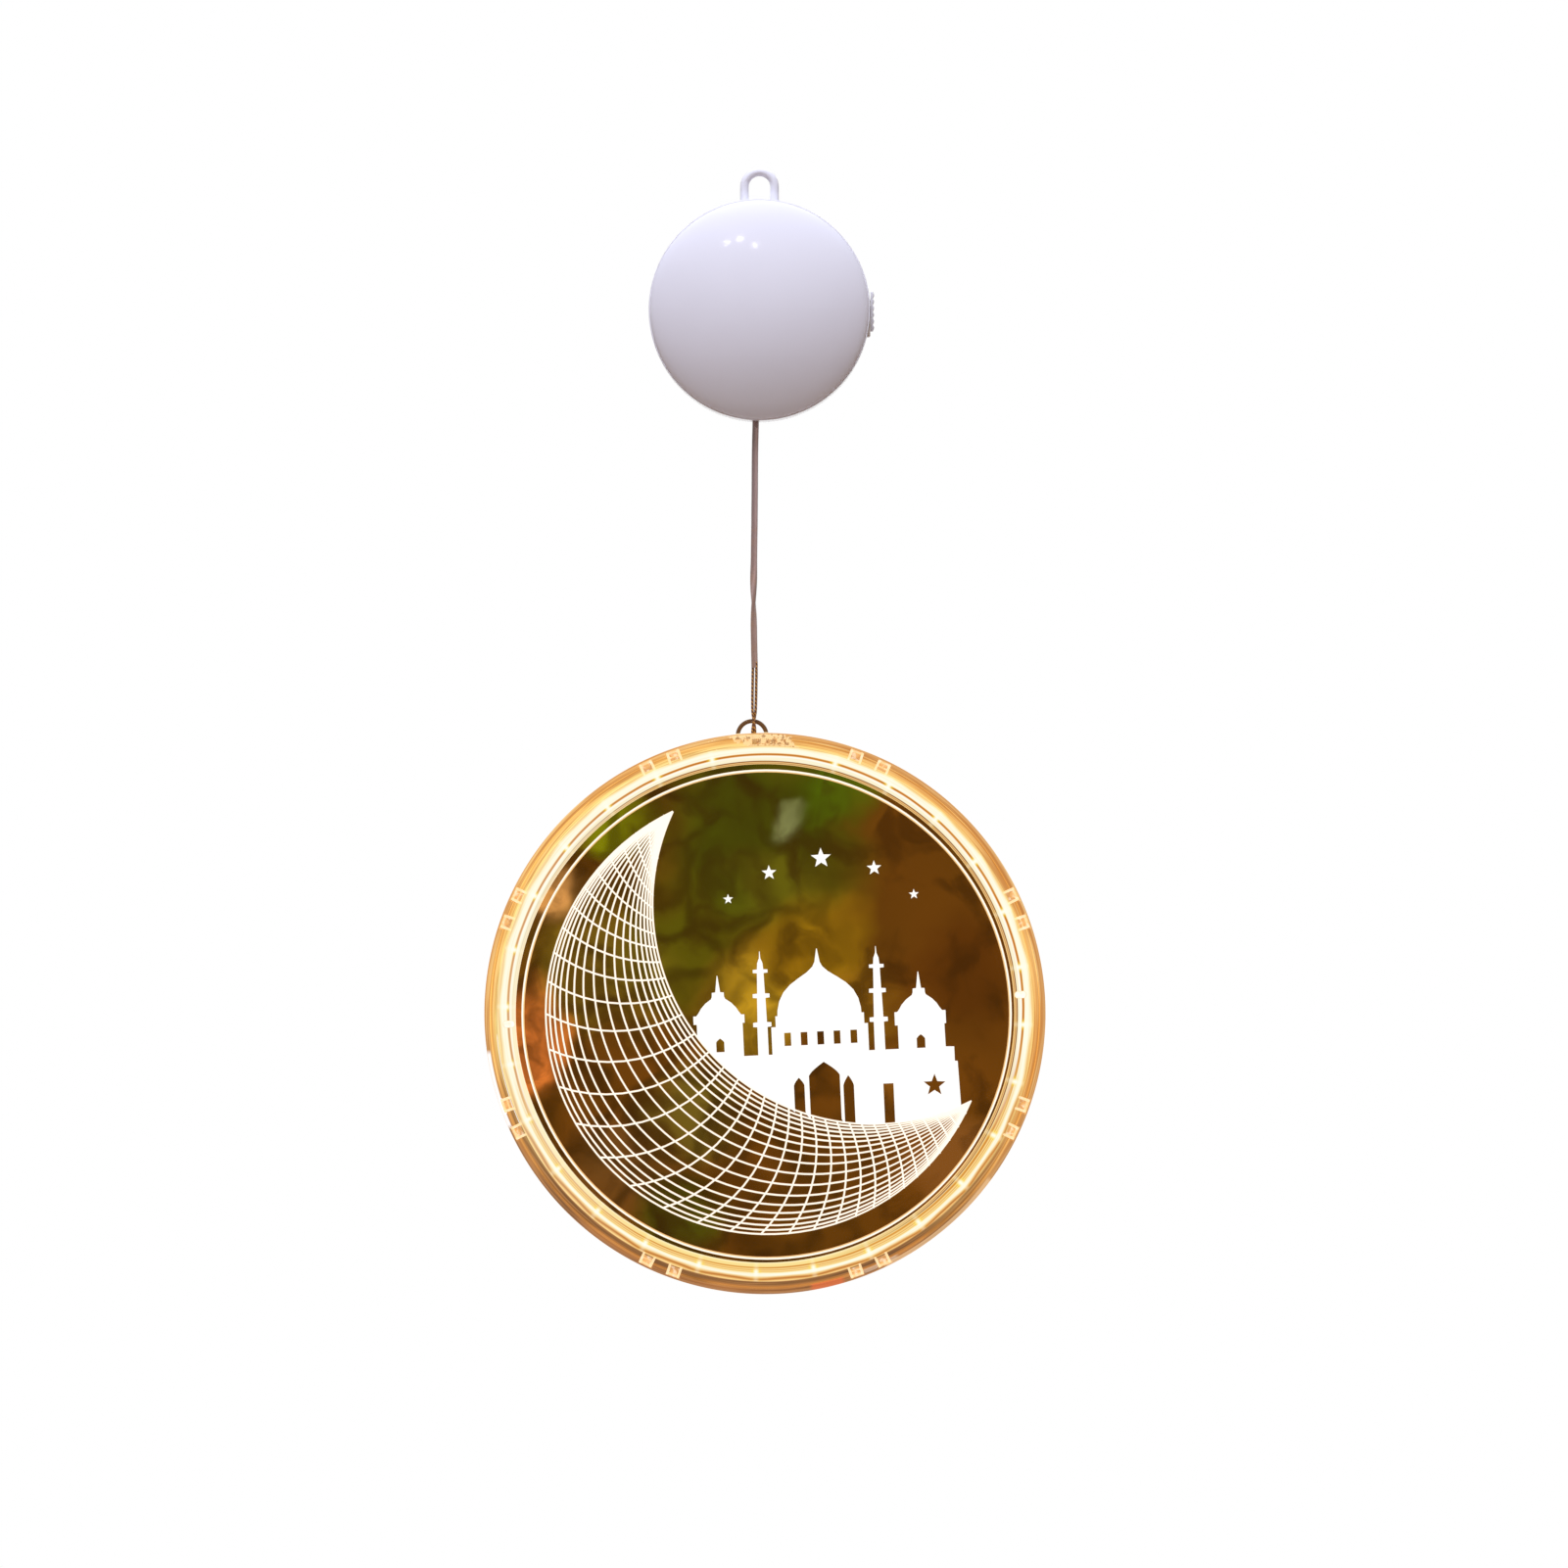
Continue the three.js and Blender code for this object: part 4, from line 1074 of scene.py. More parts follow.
def ring_painted_light_bands(nodes, radius, angle):
    """The painted bands of light on the ring's face: they sway a little, and are brightest beside the lamps.
    """
    wavy = nodes.times(nodes.minus(nodes.noise(per_mm(0.06), 2), 0.5), 0.5)
    sway = toward(nodes, angle, 310, 0, 1, -0.12, -0.4)
    sway = nodes.plus(nodes.times(toward(nodes, angle, 40, -1, 1, -1, 1), -0.56), sway)
    shift = nodes.times(sway, nodes.span(radius, 71.8, 72.8))
    swell = nodes.times(lamp_nearness(nodes, angle, 0.42), nodes.span(radius, 74.3, 75.3, 0, -0.35))
    place = nodes.plus(nodes.plus(radius, shift), nodes.plus(wavy, swell))
    place = nodes.math("MAXIMUM", place, EDGE_END)
    fine_lines = toward(nodes, angle, 180, 0.1, 0.55, 0, 1, SMOOTH)
    bands = radial_mix(nodes, fine_lines, place, UPPER_LIGHT, LOWER_LIGHT)
    edge = radial_mix(nodes, toward(nodes, angle, 215, 0.25, 0.7), radius, UPPER_LIGHT, LOWER_LIGHT)
    bands = nodes.mix(nodes.span(radius, EDGE_END - 0.1, EDGE_END), edge, bands)
    # Paler towards the left, near the face's inner edge: painted light.
    paler = nodes.times(toward(nodes, angle, 275, 0.45, 0.95), nodes.span(radius, 72.2, 72.6, 0.75, 0.2))
    bands = nodes.mix(paler, bands, srgb(255, 249, 220))
    bands = nodes.mix(painted_light_streaks(nodes, radius, 0.9, 0.5, 0.7, 0.0, 0.25), bands, srgb(250, 200, 96))

    blue = nodes.add("ShaderNodeSeparateColor", {0: bands}).outputs["Blue"]
    from_line = nodes.size(nodes.minus(radius, GOLD_LINE))
    # A painted yellow glow and a whiter painted core beside each lamp.
    glow = nodes.times(lamp_nearness(nodes, angle, 0.13), nodes.span(blue, 0.35, 0.7, 1, 0))
    glow = nodes.times(glow, nodes.span(from_line, 0.5, 1.1, 0.9, 0.15))
    bands = nodes.mix(glow, bands, srgb(255, 226, 60))
    core = nodes.times(lamp_nearness(nodes, angle, 0.07), nodes.span(from_line, 0.4, 1.1, 0.9, 0.2))
    return nodes.mix(core, bands, (1.05, 1.02, 0.9))


def ring_wall_with_painted_light(nodes, radius, angle, depth):
    """The ring's golden wall with painted light: lighter towards its top, painted shade below, streaks of
    painted light and shade, and painted reflections on its front half.
    """
    # Darker towards the bottom, as light falls from above: painted shade.
    below = toward(nodes, angle, 192, 0.0, 0.85, 0, 1, SMOOTH)
    wall = radial_mix(nodes, toward(nodes, angle, 70, 0.0, 0.8), radius, UPPER_WALL_PAINTED_LIGHT, RIGHT_WALL_PAINTED_LIGHT)
    wall = nodes.mix(below, wall, radial_ramp(nodes, radius, LOWER_WALL_PAINTED_SHADE))
    painted_light_lines = painted_light_streaks(nodes, radius, 0.8, 0.46, 0.66, 0.0, 0.5)
    painted_shade_lines = painted_light_streaks(nodes, radius, 0.5, 0.48, 0.62, 0.0, 0.7)
    wall = nodes.mix(painted_light_lines, wall, nodes.mix(below, srgb(252, 220, 150), srgb(200, 142, 84)))
    wall = nodes.mix(painted_shade_lines, wall, nodes.mix(below, srgb(190, 122, 52), srgb(92, 58, 24)))
    front = nodes.span(depth, -1 * MM, 1 * MM, 1, 0)
    for middle, half, low, high, strength, colour in WALL_PAINTED_REFLECTIONS:
        away = nodes.size(nodes.math("WRAP", nodes.minus(angle, middle), 180, -180))
        there = nodes.span(away, half - 0.5, half + 0.5, strength, 0)
        there = nodes.times(there, nodes.span(radius, low, low + 0.15))
        there = nodes.times(there, nodes.span(radius, high, high + 0.15, front, 0))
        wall = nodes.mix(there, wall, srgb(*colour))
    return splice_cloud(nodes, radius, angle, wall)


def splice_cloud(nodes, radius, angle, wall):
    """The ring's top, where the splice and the wires show through as a cloud of peach and brown."""
    cloud = nodes.noise(per_mm(0.5), 4, 0.65)
    away = nodes.size(nodes.minus(angle, nodes.span(radius, 76.0, 79.8, 4.6, 0.8)))
    ragged = nodes.plus(away, nodes.times(cloud, 9.0))
    there = nodes.times(nodes.span(ragged, 9.6, 10.4, 1, 0), nodes.span(radius, 79.5, 79.8, 1, 0))
    colour = nodes.mix(nodes.span(cloud, 0.5, 0.56, 0, 0.8), srgb(250, 214, 156), srgb(206, 146, 84))
    spots = nodes.span(nodes.noise(per_mm(0.9), 3), 0.56, 0.62, 0, 0.75)
    return nodes.mix(there, wall, nodes.mix(spots, colour, srgb(150, 96, 46)))


def ring_rim_painted_glow(nodes, angle, depth):
    """The outermost edge's painted glow: brightest in the middle of its depth, with a painted bright spot
    beside each lamp.
    """
    from_middle = nodes.size(depth)
    rim = nodes.ramp(nodes.span(from_middle, 0, 5 * MM), [
        (0.0, (255, 246, 214)), (0.45, (253, 228, 170)), (0.8, (236, 186, 116)), (1.0, (214, 156, 88)),
    ])
    rim = nodes.mix(painted_light_streaks(nodes, depth, 0.9 / MM, 0.5, 0.64, 0, 0.4), rim, srgb(226, 168, 96))
    spot = nodes.times(lamp_nearness(nodes, angle, 0.3), nodes.span(from_middle, 0, 2.5 * MM, 1, 0))
    return nodes.mix(spot, rim, (1.0, 1.0, 0.96))


def ring_material():
    """Clear plastic lit from inside, with the lamps' light painted as the plastic's own emission. The small
    loop on top isn't lit.
    """
    nodes = Nodes("lit clear ring")
    radius, angle = from_centre(nodes)
    depth = nodes.axis("Y")
    wall = ring_wall_with_painted_light(nodes, radius, angle, depth)
    wall = nodes.mix(nodes.span(radius, 79.88, 79.98), wall, ring_rim_painted_glow(nodes, angle, depth))
    outer = nodes.span(radius, 76.3, 76.5)
    loop = nodes.span(radius, 80.1, 80.3)
    tint = nodes.mix(outer, BLACK, nodes.mix(0.8, wall, BLACK))
    return nodes.set(
        Base_Color=nodes.mix(loop, tint, srgb(112, 72, 24)), Roughness=0.07, IOR=1.45, Specular_IOR_Level=0.3,
        Emission_Color=nodes.mix(outer, ring_painted_light_bands(nodes, radius, angle), wall),
        Transmission_Weight=nodes.times(outer, 0.15),
        Emission_Strength=nodes.times(nodes.span(outer, 0, 1, 1.0, 0.9), nodes.span(loop, 0, 1, 1, 0)),
    ).material


def clip_painted_light_material():
    """The clips' clear plastic with a painted glow: pale along the legs, painted shade in the hollow between
    them, and painted near-white glints.
    """
    nodes = Nodes("clear clips")
    colour = nodes.ramp(nodes.span(nodes.axis("Y"), -4.6 * MM, -1.4 * MM), [
        (0.0, (255, 226, 170)), (0.1, (240, 190, 120)), (0.3, (224, 170, 104)), (0.4, (206, 150, 88)),
        (0.8, (150, 104, 60)),
    ])
    # Near-white patches: painted glints.
    cloud = nodes.span(nodes.noise(per_mm(0.9), 3), 0.5, 0.64, 0, 0.6)
    colour = nodes.mix(cloud, colour, srgb(255, 240, 214))
    nodes.set(Base_Color=nodes.mix(0.6, colour, BLACK), Roughness=0.08, IOR=1.45, Emission_Color=colour)
    return nodes.set(Transmission_Weight=0.2, Emission_Strength=0.8).material


def marks_painted_glint_material():
    """The marks with a painted glint of the lamps' light: white, with a golden rim."""
    nodes = Nodes("lit marks")
    cloud = nodes.span(nodes.noise(per_mm(0.6), 2), 0.35, 0.6, 0.4, 0)
    height = nodes.span(nodes.axis("Y"), -5.68 * MM, -5.5 * MM)
    colour = nodes.mix(height, srgb(255, 254, 246), srgb(244, 204, 110))
    colour = nodes.mix(cloud, colour, srgb(246, 214, 140))
    nodes.set(Base_Color=(0.1, 0.08, 0.05), Roughness=0.1, Emission_Color=colour)
    return nodes.set(Emission_Strength=1.0).material


# Soft patches in the disc: place (x, z), reach, strength and colour
DISC_PATCHES = [
    (0, 50, 32, 0.9, (74, 82, 8)), (-24, 20, 20, 0.8, (90, 86, 8)), (6, 34, 15, 0.7, (108, 96, 16)),
    (-4, 3, 15, 0.8, (216, 166, 36)), (14, 17, 17, 0.8, (158, 114, 14)), (28, 4, 12, 0.6, (160, 110, 22)),
    (22, 61, 12, 0.8, (82, 104, 8)), (10, 54, 6, 0.8, (160, 164, 100)), (-40, 56, 12, 0.85, (132, 134, 8)),
    (-61, 37, 9, 0.85, (230, 160, 84)), (-48, 14, 20, 0.6, (150, 122, 30)),
    (-70, -4, 16, 0.95, (250, 136, 56)), (-20, -26, 16, 0.7, (112, 98, 30)),
    (-44, -42, 16, 0.6, (112, 74, 32)), (-26, -57, 14, 0.8, (66, 72, 8)),
    (50, -44, 15, 0.6, (144, 88, 36)), (60, 8, 18, 0.6, (80, 40, 6)), (34, -18, 10, 0.5, (164, 100, 26)),
]
DRIFT = 24  # how far the patches' outlines wander


def disc_material():
    """Amber tinted acrylic, with soft patches of olive, brown and orange."""
    nodes = Nodes("amber acrylic")

    def vector_math(operation, *values):
        return nodes.add("ShaderNodeVectorMath", dict(enumerate(values)), operation=operation).outputs

    drift = nodes.add("ShaderNodeTexNoise", {"Vector": nodes.place, "Scale": per_mm(0.05), "Detail": 3})
    drift = vector_math("ADD", drift.outputs[1], (-0.5, -0.5, -0.5))[0]
    place = vector_math("MULTIPLY_ADD", drift, (DRIFT * MM, 0, DRIFT * MM), nodes.place)[0]
    side = nodes.span(nodes.noise(per_mm(0.018), 2), 0.38, 0.62)
    base = nodes.mix(side, srgb(98, 58, 10), srgb(112, 64, 12))
    for x, z, reach, strength, colour in DISC_PATCHES:
        away = vector_math("DISTANCE", place, (x * MM, 0, z * MM))[1]
        there = nodes.span(away, reach * 0.45 * MM, reach * 1.25 * MM, strength, 0, SMOOTH)
        base = nodes.mix(there, base, srgb(*colour))
    inputs = {"Vector": place, "Scale": per_mm(0.06)}
    leaf = nodes.add("ShaderNodeTexVoronoi", inputs, feature="DISTANCE_TO_EDGE")
    veins = nodes.span(leaf.outputs[0], 0.02, 0.2, 0.6, 0, SMOOTH)
    veins = nodes.times(veins, nodes.span(nodes.axis("X"), 10 * MM, 40 * MM, 1, 0))
    base = nodes.mix(veins, base, srgb(54, 32, 4))
    dark = nodes.span(nodes.noise(per_mm(0.055), 4, 0.6, place), 0.5, 0.62, 0.0, 0.6, SMOOTH)
    base = nodes.mix(dark, base, srgb(58, 32, 5))
    nodes.set(Base_Color=base, Roughness=0.02, IOR=1.06, Transmission_Weight=1.0, Specular_IOR_Level=0.5)
    return nodes.material


def engraving_material(name, top):
    """An engraving that catches the lamps' light, painted as its own emission: pale on top, and golden where
    it meets the acrylic.
    """
    nodes = Nodes(name)
    height = nodes.span(nodes.size(nodes.axis("Y")), 1.49 * MM, 1.55 * MM)
    colour = nodes.ramp(height, [(0.0, (190, 112, 30)), (0.5, (244, 206, 140)), (0.8, top)])
    nodes.set(Base_Color=BLACK, Roughness=0.6, Specular_IOR_Level=0.0, Emission_Color=colour)
    return nodes.set(Emission_Strength=nodes.span(nodes.noise(per_mm(2), 2), 0.3, 0.7, 1.04, 1.12)).material


def lamp_material():
    """A lamp under its drop of resin: warm white, and yellower in places."""
    nodes = Nodes("warm lamp")
    warm = nodes.span(nodes.noise(per_mm(0.5), 1), 0.3, 0.7)
    nodes.set(Emission_Color=nodes.mix(warm, srgb(255, 226, 150), srgb(255, 244, 214)), Emission_Strength=3.0)
    return nodes.set(Base_Color=(0.9, 0.8, 0.6), Roughness=0.2).material


ring_clear = ring_material()
clip_clear = clip_painted_light_material()


def clip_angles():
    middles = [CLIP_TURN + 45 * (i + 0.5) for i in range(8)]
    return [middle + side * CLIP_SPREAD / 2 for middle in middles for side in (-1, 1)]


def spoke(inner, outer, width, y0, y1, angle, edge=0.0):
    """A block that stands on the circle of the inner radius at an angle."""
    half = width / 2
    if not edge:
        return turned(block((-half, y0, inner), (half, y1, outer)), angle)
    outline = round_rect(half, (outer - inner) / 2, edge)
    small = round_rect(half - edge, (outer - inner) / 2 - edge, edge * 0.3)
    form = loft([(small, y0), (outline, y0 + edge), (outline, y1 - edge), (small, y1)])
    return turned(moved(form, 0, 0, (inner + outer) / 2), angle)


def ring_arc(radius, start, end, steps):
    """Points round the pendant's middle, with angles clockwise from its top."""
    return [(z, 0, x) for x, z in arc(0, 0, radius, start, end, steps)]


def entry_hole():
    """The hole for the wires in the ring's top."""
    hole = revolve([(0, -4), (1.3, -4), (1.3, 3.2), (1.7, 3.7), (1.7, 5), (0, 5)], 28)
    return moved(upright(hole), ENTRY_OFFSET, 0, RING_RADIUS - 3.4)


def ring_half(name, corners, steps, *tools):
    """One half of the ring, turned from its outline, with the wires' hole and other shapes cut from it."""
    shape = revolve(fillet(corners, steps), RING_STEPS)
    piece = mesh_object(name, shape, ring_clear, PENDANT, RING_SHARP)
    return cut(piece, together(*tools, entry_hole()))


def make_ring_rear():
    """The rear half: the back plate, the outer wall with pockets for the clips and the small loop on top."""
    pockets = [spoke(77.9, 79.5, 4.6, -6.5, -0.9, angle) for angle in clip_angles()]
    piece = ring_half("lit_ring_rear", [
        (FLANGE_INNER, 1.8, 0.1), (72.3, 1.8, 0.1), (72.3, 4, 0.3), (OUTER_INNER, 4, 0.3),
        (OUTER_INNER, -5, 0.2), (79.1, -5, 0.2), (79.6, -4.8, 0.3), (RING_RADIUS, -4.3, 0.4),
        (RING_RADIUS, 5, 0.4), (79.5, 5.5, 0.4), (77.4, 5.5, 0.2), (77.1, 5.25, 0.1), (76.7, 5.25, 0.1),
        (76.4, 5.5, 0.2), (71.6, 5.5, 0.3), (FLANGE_INNER, 5, 0.3),
    ], 4, *pockets)
    reach, middle, loop_bar = RING_LOOP
    path = [(reach, middle - 0.4), *arc(0, middle, reach, 0, 180, 32), (-reach, middle - 0.4)]
    join(piece, tube([(x, 1.8, z) for x, z in path], loop_bar, 16))
    dress(piece, "pendant", "ring_clear", "ring_rear")


def make_ring_front():
    """The front half: ridges on its face and the channel's wall behind it."""
    piece = ring_half("lit_ring_front", [
        (FLANGE_INNER, -1.8, 0.1), (FLANGE_INNER, -5.25, 0.2), (71.35, -5.5, 0.15), (72.4, -5.5, 0.1),
        (72.55, -5.3, 0.1), (72.7, -5.3, 0.1), (72.85, -5.5, 0.15), (73.35, -5.5, 0.1), (73.5, -5.38, 0.1),
        (74.0, -5.42, 0.2), (74.5, -5.5, 0.4), (75.0, -5.42, 0.2), (75.3, -5.2, 0.1), (75.5, -5.2, 0.1),
        (75.7, -5.5, 0.2), (76.05, -5.5, 0.1), (76.15, -4.5, 0.1), (CHANNEL_OUTER, -4.4, 0.1),
        (CHANNEL_OUTER, 3.7, 0.2), (CHANNEL_INNER, 3.7, 0.2), (CHANNEL_INNER, -4, 0.3), (72.3, -4, 0.3),
        (72.3, -1.8, 0.1),
    ], 3)
    dress(piece, "pendant", "ring_clear", "ring_front")


def make_marks():
    """Two small round-ended marks that stand up a hair from the ring's face, at its sides."""
    foot = round_rect(1.05, 1.75, 1.04)
    mark = moved(loft([(foot, -5.3), (foot, -5.55), (round_rect(0.8, 1.5, 0.79), -5.68)]), 0, 0, MARK_CIRCLE)
    shape = together(*[turned(mark, angle) for angle in MARK_ANGLES])
    piece = mesh_object("face_marks", shape, marks_painted_glint_material(), PENDANT)
    dress(piece, "pendant", "ring_clear")


def make_clips():
    """The clips on the front half's wall: two legs with a hollow between, and a nose in the hollow."""
    shapes = []
    half = CLIP_WIDTH / 2
    foot = CLIP_FOOT + 0.05
    nose = moved(revolve(half_dome(1.0, -3.55, 0.45, 6) + [(0, -3.4)], 20), 0, 0, 78.35)
    for i, angle in enumerate(clip_angles()):
        shapes.append(spoke(CLIP_FOOT, CLIP_TOP, CLIP_WIDTH, -3.6 if i % 2 else -3.4, -1.2, angle, 0.2))
        shapes.append(turned(nose, angle))
        for side in (-1, 1):
            leg = extrude(fillet([
                (side * half, foot, 0.2), (side * half, CLIP_TOP, 0.3),
                (side * (half - CLIP_LEG), CLIP_TOP, 0.3), (side * (half - CLIP_LEG * 0.8), foot, 0.2),
            ]), CLIP_FRONT, CLIP_BACK)
            shapes.append(turned(leg, angle))
        shapes.append(spoke(CLIP_TOP - CLIP_LEG, CLIP_TOP, CLIP_WIDTH - 0.4, -4.5, CLIP_BACK, angle, 0.2))
        if i % 2:
            shapes.append(spoke(77.35, 77.85, CLIP_WIDTH - 1, -4.4, CLIP_BACK, angle, 0.15))
    piece = mesh_object("snap_clips", together(*shapes), clip_clear, PENDANT, RING_SHARP)
    dress(piece, "pendant", "ring_clear")


def make_disc():
    profile = fillet([
        (0, -DISC_HALF, 0), (DISC_RADIUS, -DISC_HALF, 0.2), (DISC_RADIUS, DISC_HALF, 0.2), (0, DISC_HALF, 0),
    ], 3)
    piece = mesh_object("tinted_disc", revolve(profile, RING_STEPS), disc_material(), PENDANT)
    dress(piece, "pendant", "disc_acrylic", "acrylic_disc")


def make_lamps():
    """The lamps along their wire: drops of resin lengthwise on it."""
    last = FIRST_LAMP + LAMP_PITCH * (LAMP_COUNT - 1)
    half = LAMP_LENGTH / 2
    drop = [(max(0, x) ** 0.8, half * y) for x, y in arc(0, 0, 1, -90, 90, 12)]
    drop[0], drop[-1] = (0, -half), (0, half)
    along = moved(along_x(revolve(drop, 20)), 0, 0, LAMP_CIRCLE)
    shapes = [tube(ring_arc(LAMP_CIRCLE, SPLICE_ANGLES[1] + 0.3, last + 0.6, 180), 0.2, 8)]
    shapes += [turned(along, FIRST_LAMP + LAMP_PITCH * i) for i in range(LAMP_COUNT)]
    piece = mesh_object("lamp_string", together(*shapes), lamp_material(), PENDANT)
    dress(piece, "pendant", "lamp_warm", "led_string")


def make_splice():
    start, end = SPLICE_ANGLES
    sleeve = tube(ring_arc(LAMP_CIRCLE, start + 0.3, end - 0.3, 30), 0.9, 20)
    piece = mesh_object("wire_splice", sleeve, splice_sleeve, PENDANT)
    join(piece, tube([(ENTRY_OFFSET, 0, z) for z in (LAMP_CIRCLE, 76, 78.9)], 0.6, 16))
    dress(piece, "pendant", "splice_sleeve", "lead_splice")


make_ring_rear()
make_ring_front()
make_marks()
make_clips()
make_disc()
make_lamps()
make_splice()


# Engraving: a crescent moon of crossed lines with a mosque inside it, raised a hair from both faces

OUTER_CIRCLE = (0.88, 0.36, 63.58)
INNER_CIRCLE = (32.38, 29.67, 62.89)
TIPS = (Vector((-23.58, 58.75)), Vector((57.67, -27.63)))
LINE_WIDTH = 0.34
LINE_FOOT = 0.14  # how far a line's sloped side reaches past its top
LINE_HEIGHT = 0.06
LINE_SINK = 0.01  # how far the engraving reaches into the disc
RIM_CENTRE = (0.46, -0.38)
RIM_LINES = [(69.7, 0.36, LINE_HEIGHT), (69.27, 0.1, 0.02)]  # radius, width and height


def on_circle(circle, angle):
    x, z, radius = circle
    return Vector((x + radius * math.sin(math.radians(angle)), z + radius * math.cos(math.radians(angle))))


def bowed(start, end, sagitta, steps):
    """Points on a circle's arc from start to end, bowed to the left of its direction by the sagitta."""
    chord = end - start
    half = chord.length / 2
    along = chord / chord.length
    side = Vector((-along.y, along.x)) * math.copysign(1, sagitta)
    rise = abs(sagitta)
    radius = (rise ** 2 + half ** 2) / (2 * rise)
    centre = (start + end) / 2 + side * (rise - radius)
    reach = 2 * math.atan(rise / half)
    points = []
    for i in range(steps + 1):
        a = reach * (2 * i / steps - 1)
        points.append(centre + (along * math.sin(a) + side * math.cos(a)) * radius)
    return points


def ribbon(points, width, closed=False, height=LINE_HEIGHT, thin=0):
    """A line with sloped sides on each face of the disc, along (x, z) points, that thins toward its end."""
    count = len(points)
    front, back = [], []
    for i, point in enumerate(points):
        before = points[i - 1] if closed or i else point
        after = points[(i + 1) % count] if closed or i < count - 1 else point
        along = (after - before).normalized()
        half = 0.5 * width * (1 - thin * max(0, 4 * i / count - 3))
        foot = half + LINE_FOOT
        for share, lift in ((foot, -LINE_SINK), (half, height), (-half, height), (-foot, -LINE_SINK)):
            x, z = point + Vector((-along.y, along.x)) * share
            front.append((x, -DISC_HALF - lift, z))
            back.append((x, DISC_HALF + lift, z))
    faces = skin(count, 4, closed)
    return together((front, faces), (back, faces))


def long_lines():
    """Arcs from tip to tip, close together near both edges of the crescent and wide apart in its middle."""
    shares = [0.412 + 0.0121 * k + 0.355 * math.atan((k - 9.4) / 4.2) for k in range(18)]
    return [bowed(*TIPS, -(42.0 + 43.8 * share), 72) for share in shares]


def cross_lines():
    """Bowed lines from the inner circle to the outer one."""
    lines = []
    for k in range(-5, 29):
        inner = 259.2 - 3.209 * k - 9.289 * math.tanh((k - 7) / 3.25)
        outer = 273.3 - 3.974 * k - 42.47 * math.tanh((k - 9.75) / 6.25)
        start, end = on_circle(INNER_CIRCLE, inner), on_circle(OUTER_CIRCLE, outer)
        lines.append(bowed(start, end, (end - start).length ** 2 / 310, 10))
    return lines


def make_moon():
    lines = [ribbon(line, LINE_WIDTH, thin=0.6) for line in long_lines()]
    for i, line in enumerate(cross_lines()):
        lines.append(ribbon(line, LINE_WIDTH * min(1, 0.62 + 0.05 * i)))
    for radius, width, height in RIM_LINES:
        rim = [Vector(place) for place in circle(*RIM_CENTRE, radius, 144)]
        lines.append(ribbon(rim, width, closed=True, height=height))
    finish = engraving_material("lit lines", (255, 251, 239))
    dress(mesh_object("engraved_moon", together(*lines), finish, PENDANT, 180), "pendant", "engraving")


def mirror(right, middle):
    """Points given from the middle out to the right, followed by their mirror images on the left."""
    return [(middle + x, z) for x, z in right] + [(middle - x, z) for x, z in reversed(right)]


def minaret(x, shift):
    """A minaret's outline from its foot up one side, over the tip and down again."""
    outline = mirror([
        (1.5, -12.2), (1.45, -3.9), (2.6, -3.8), (2.6, -2.6), (1.35, -2.5), (1.2, 4.4),
        (2.4, 4.5), (2.4, 5.6), (1.1, 5.7), (0.95, 11.5), (2.1, 11.6), (2.1, 12.5),
        (0.9, 12.6), (0.75, 14.4), (0.2, 15.8), (0.08, 17.7),
    ], x)
    return [(a + shift * (b + 12) / 30, b) for a, b in outline]


def side_dome(x, base):
    """A small dome with its spire, from its cornice up."""
    right = [
        (6.5, 0), (5.8, 0.9), (5, 2.2), (3.7, 3.6), (2, 4.8), (1.75, 5.5), (1.7, 6.6), (0.7, 6.7),
        (0.1, 11.4),
    ]
    return mirror([(reach, base + height) for reach, height in right], x)


def great_dome(x):
    """The ogee dome over the hall."""
    return mirror([
        (12.6, -4.1), (12.0, -1), (11.9, 0.6), (11.3, 3.2), (10.0, 5.7), (8.0, 7.8),
        (5.6, 9.5), (3.0, 11.2), (1.4, 12.7), (0.75, 14.0), (0.1, 17.8),
    ], x)


def star(x, z, radius, turn=0.0):
    """A star with five points."""
    points = []
    for i in range(10):
        a = math.radians(turn + 36 * i)
        r = radius if i % 2 == 0 else 0.42 * radius
        points.append((x + r * math.sin(a), z + r * math.cos(a)))
    return points


def arched(x0, x1, foot, spring, apex):
    """A window or doorway with a pointed arch, from its right foot round to its left one."""
    middle, half = (x0 + x1) / 2, (x1 - x0) / 2
    right = [(half, foot)]
    right += [(half * (1 - i / 6), spring + (apex - spring) * (i / 6) ** 0.75) for i in range(6)]
    outline = mirror(right, middle)
    outline.insert(len(right), (middle, apex))
    return outline


def inner_edge(x):
    """The height of the moon's inner edge."""
    centre_x, centre_z, radius = INNER_CIRCLE
    return centre_z - math.sqrt(radius ** 2 - (x - centre_x) ** 2)


def wall_outline():
    """The walls: their top from left to right, then back along the moon's inner edge with the doorways."""
    top = [
        (-19.6, -5.9), (-19.6, -2.3), (-6.5, -2.3), (-6.5, -11.9), (37.7, -11.9), (37.7, -5.1),
        (51.0, -5.1), (51.1, -11.8), (53.5, -11.9), (53.5, -16.0), (54.3, -16.1), (54.7, inner_edge(54.7)),
    ]
    doors = [
        [(35.7, inner_edge(35.7)), (35.7, -21.6), (32.8, -21.6), (32.8, inner_edge(32.8))],
        arched(21.4, 24.4, inner_edge(22.9), -21.6, -18.7),
        arched(11.7, 20.5, inner_edge(16.1), -18.4, -14.6),
        arched(7.3, 10.3, inner_edge(8.8), -21.0, -18.8),
    ]
    bottom = [(54 - 1.5 * i, inner_edge(54 - 1.5 * i)) for i in range(49)]
    for door in doors:
        right, left = door[0][0], door[-1][0]
        before = [point for point in bottom if point[0] >= right]
        after = [point for point in bottom if point[0] < left]
        bottom = before + door + after
    return top + bottom


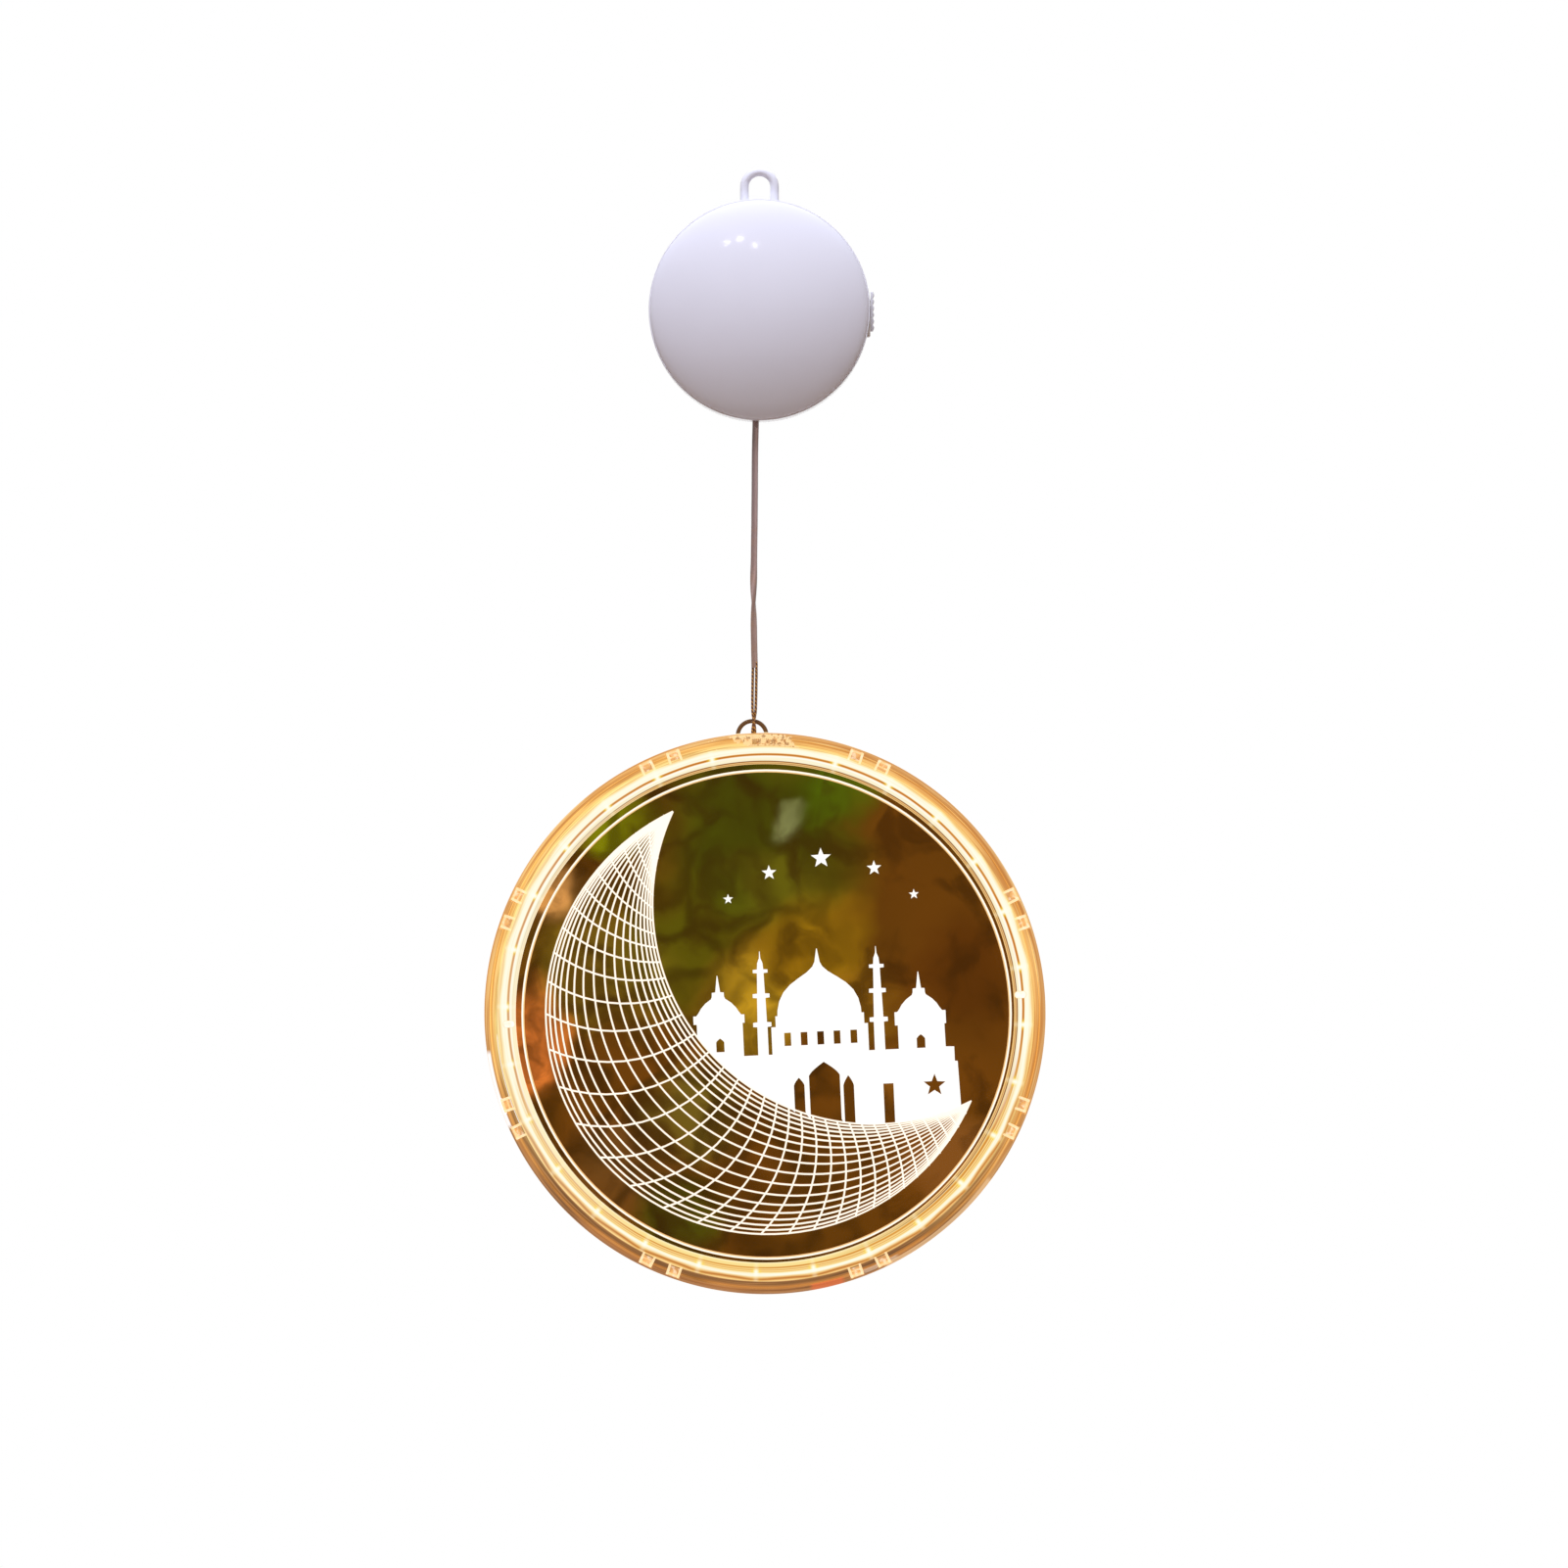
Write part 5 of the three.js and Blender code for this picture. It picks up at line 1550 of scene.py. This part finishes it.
def filled(outlines, y0, y1):
    """Closed outlines as a plate, where an outline inside another one is a hole."""
    data = bpy.data.curves.new("outline", "CURVE")
    data.dimensions = "2D"
    data.fill_mode = "BOTH"
    data.extrude = (y1 - y0) / 2
    for outline in outlines:
        line = data.splines.new("POLY")
        line.points.add(len(outline) - 1)
        for point, (x, z) in zip(line.points, outline):
            point.co = (x, z, 0, 1)
        line.use_cyclic_u = True
    helper = link(bpy.data.objects.new("outline", data))
    bpy.context.view_layer.update()
    mesh = bpy.data.meshes.new_from_object(helper.evaluated_get(bpy.context.evaluated_depsgraph_get()))
    vertices = [(v.co.x, v.co.z + (y0 + y1) / 2, v.co.y) for v in mesh.vertices]
    bpy.data.objects.remove(helper)
    return vertices, [list(face.vertices) for face in mesh.polygons]


def make_mosque():
    """The mosque's silhouette with its windows left dark, and small stars above it."""
    windows = [rectangle(x, -9.6, x + 1.9, -5.85) for x in (5.2, 9.9, 14.6, 19.3, 24.1)]
    left_window = arched(-14.3, -12.0, -10.5, -7.7, -6.6)
    right_window = arched(42.9, 45.3, -11.9, -9.2, -8.0)
    groups = [
        [wall_outline(), left_window, right_window, star(47.4, -22.7, 3.3, 2)],
        [rectangle(1.6, -12.2, 29.2, -4.1), *windows],
        [great_dome(15.5)],
        [rectangle(2.9, -4.2, 28.2, -1)],
        [rectangle(-20.5, -2.4, -5.9, 0)],
        [rectangle(36.9, -5.2, 51.5, -1.4)],
        [side_dome(-13.2, -0.1)],
        [side_dome(44.1, -1.5)],
        [minaret(-0.95, 0.15)],
        [minaret(32.35, 0.0)],
    ]
    for x, z, radius in ((-9, 33, 1.5), (3, 40, 2.2), (18, 43.5, 3.0), (33, 40, 2.2), (44, 32, 1.5)):
        groups.append([star(x, z, radius)])
    low, high = DISC_HALF - LINE_SINK, DISC_HALF + LINE_HEIGHT
    shapes = [filled(group, y0, y1) for y0, y1 in ((-high, -low), (low, high)) for group in groups]
    finish = engraving_material("lit areas", (255, 253, 248))
    dress(mesh_object("engraved_mosque", together(*shapes), finish, PENDANT, 20), "pendant", "engraving")


make_moon()
make_mosque()


# Floor, light and background

FLOOR_RADIUS = 700
FLOOR_Z = -640


def make_floor():
    """A pale round floor well below the pendant, which fades out towards its edge."""
    nodes = Nodes("floor")
    far = nodes.length(nodes.axis("X"), nodes.axis("Y"))
    fade = nodes.span(far, FLOOR_RADIUS * 0.4 * MM, FLOOR_RADIUS * 0.97 * MM, 1, 0, SMOOTH)
    nodes.set(Base_Color=srgb(236, 235, 236), Roughness=0.9, Alpha=fade)
    shape = upright(extrude(circle(0, 0, FLOOR_RADIUS, 120), -0.5, 0.5))
    floor = mesh_object("floor", shape, nodes.material, at(0, 100, FLOOR_Z))


def make_world():
    """White where it shows, and a weaker light from all round on everything else, warmest from below."""
    world = bpy.data.worlds.new("studio")
    bpy.context.scene.world = world
    nodes = Nodes("studio", world)
    height = nodes.span(nodes.axis("Z"), -0.5, 0.5)
    nodes.set(Color=nodes.mix(height, (0.25, 0.125, 0.07), (0.2, 0.2, 0.175)))
    white = nodes.add("ShaderNodeBackground", {0: (1.0, 1.0, 1.0)})
    path = nodes.add("ShaderNodeLightPath").outputs
    shows = path["Is Camera Ray"]
    for name in ("Is Glossy Ray", "Is Transmission Ray"):
        shows = nodes.math("MAXIMUM", shows, path[name])
    both = nodes.add("ShaderNodeMixShader", {0: shows, 1: nodes.shader.outputs[0], 2: white.outputs[0]})
    nodes.put(nodes.tree.nodes["World Output"].inputs["Surface"], both.outputs[0])


def make_lamp(name, elevation, azimuth, distance, size, power, colour=(1.0, 1.0, 1.0)):
    """A soft square lamp that looks at the pod from an elevation and an azimuth, 0 being the front."""
    data = bpy.data.lights.new(name, "AREA")
    data.size = size
    data.energy = power
    data.color = colour
    lamp = link(bpy.data.objects.new(name, data))
    e, a = math.radians(elevation), math.radians(azimuth)
    away = Vector((math.sin(a) * math.cos(e), -math.cos(a) * math.cos(e), math.sin(e)))
    lamp.location = POD.translation + away * distance
    lamp.rotation_euler = away.to_track_quat("Z", "Y").to_euler()
    return lamp


make_floor()
make_world()
make_lamp("key", 64, -12, 1.5, 0.8, 33, (0.765, 0.81, 0.985)).visible_glossy = False
make_lamp("back fill", 30, 170, 1.5, 1.0, 11, (0.86, 0.92, 1.0)).visible_glossy = False
for elevation, azimuth, power in ((32.3, -16.4, 0.13), (34.2, -10.1, 0.22), (31.0, -2.2, 0.12)):
    make_lamp("glint", elevation, azimuth, 1.2, 0.04, power)
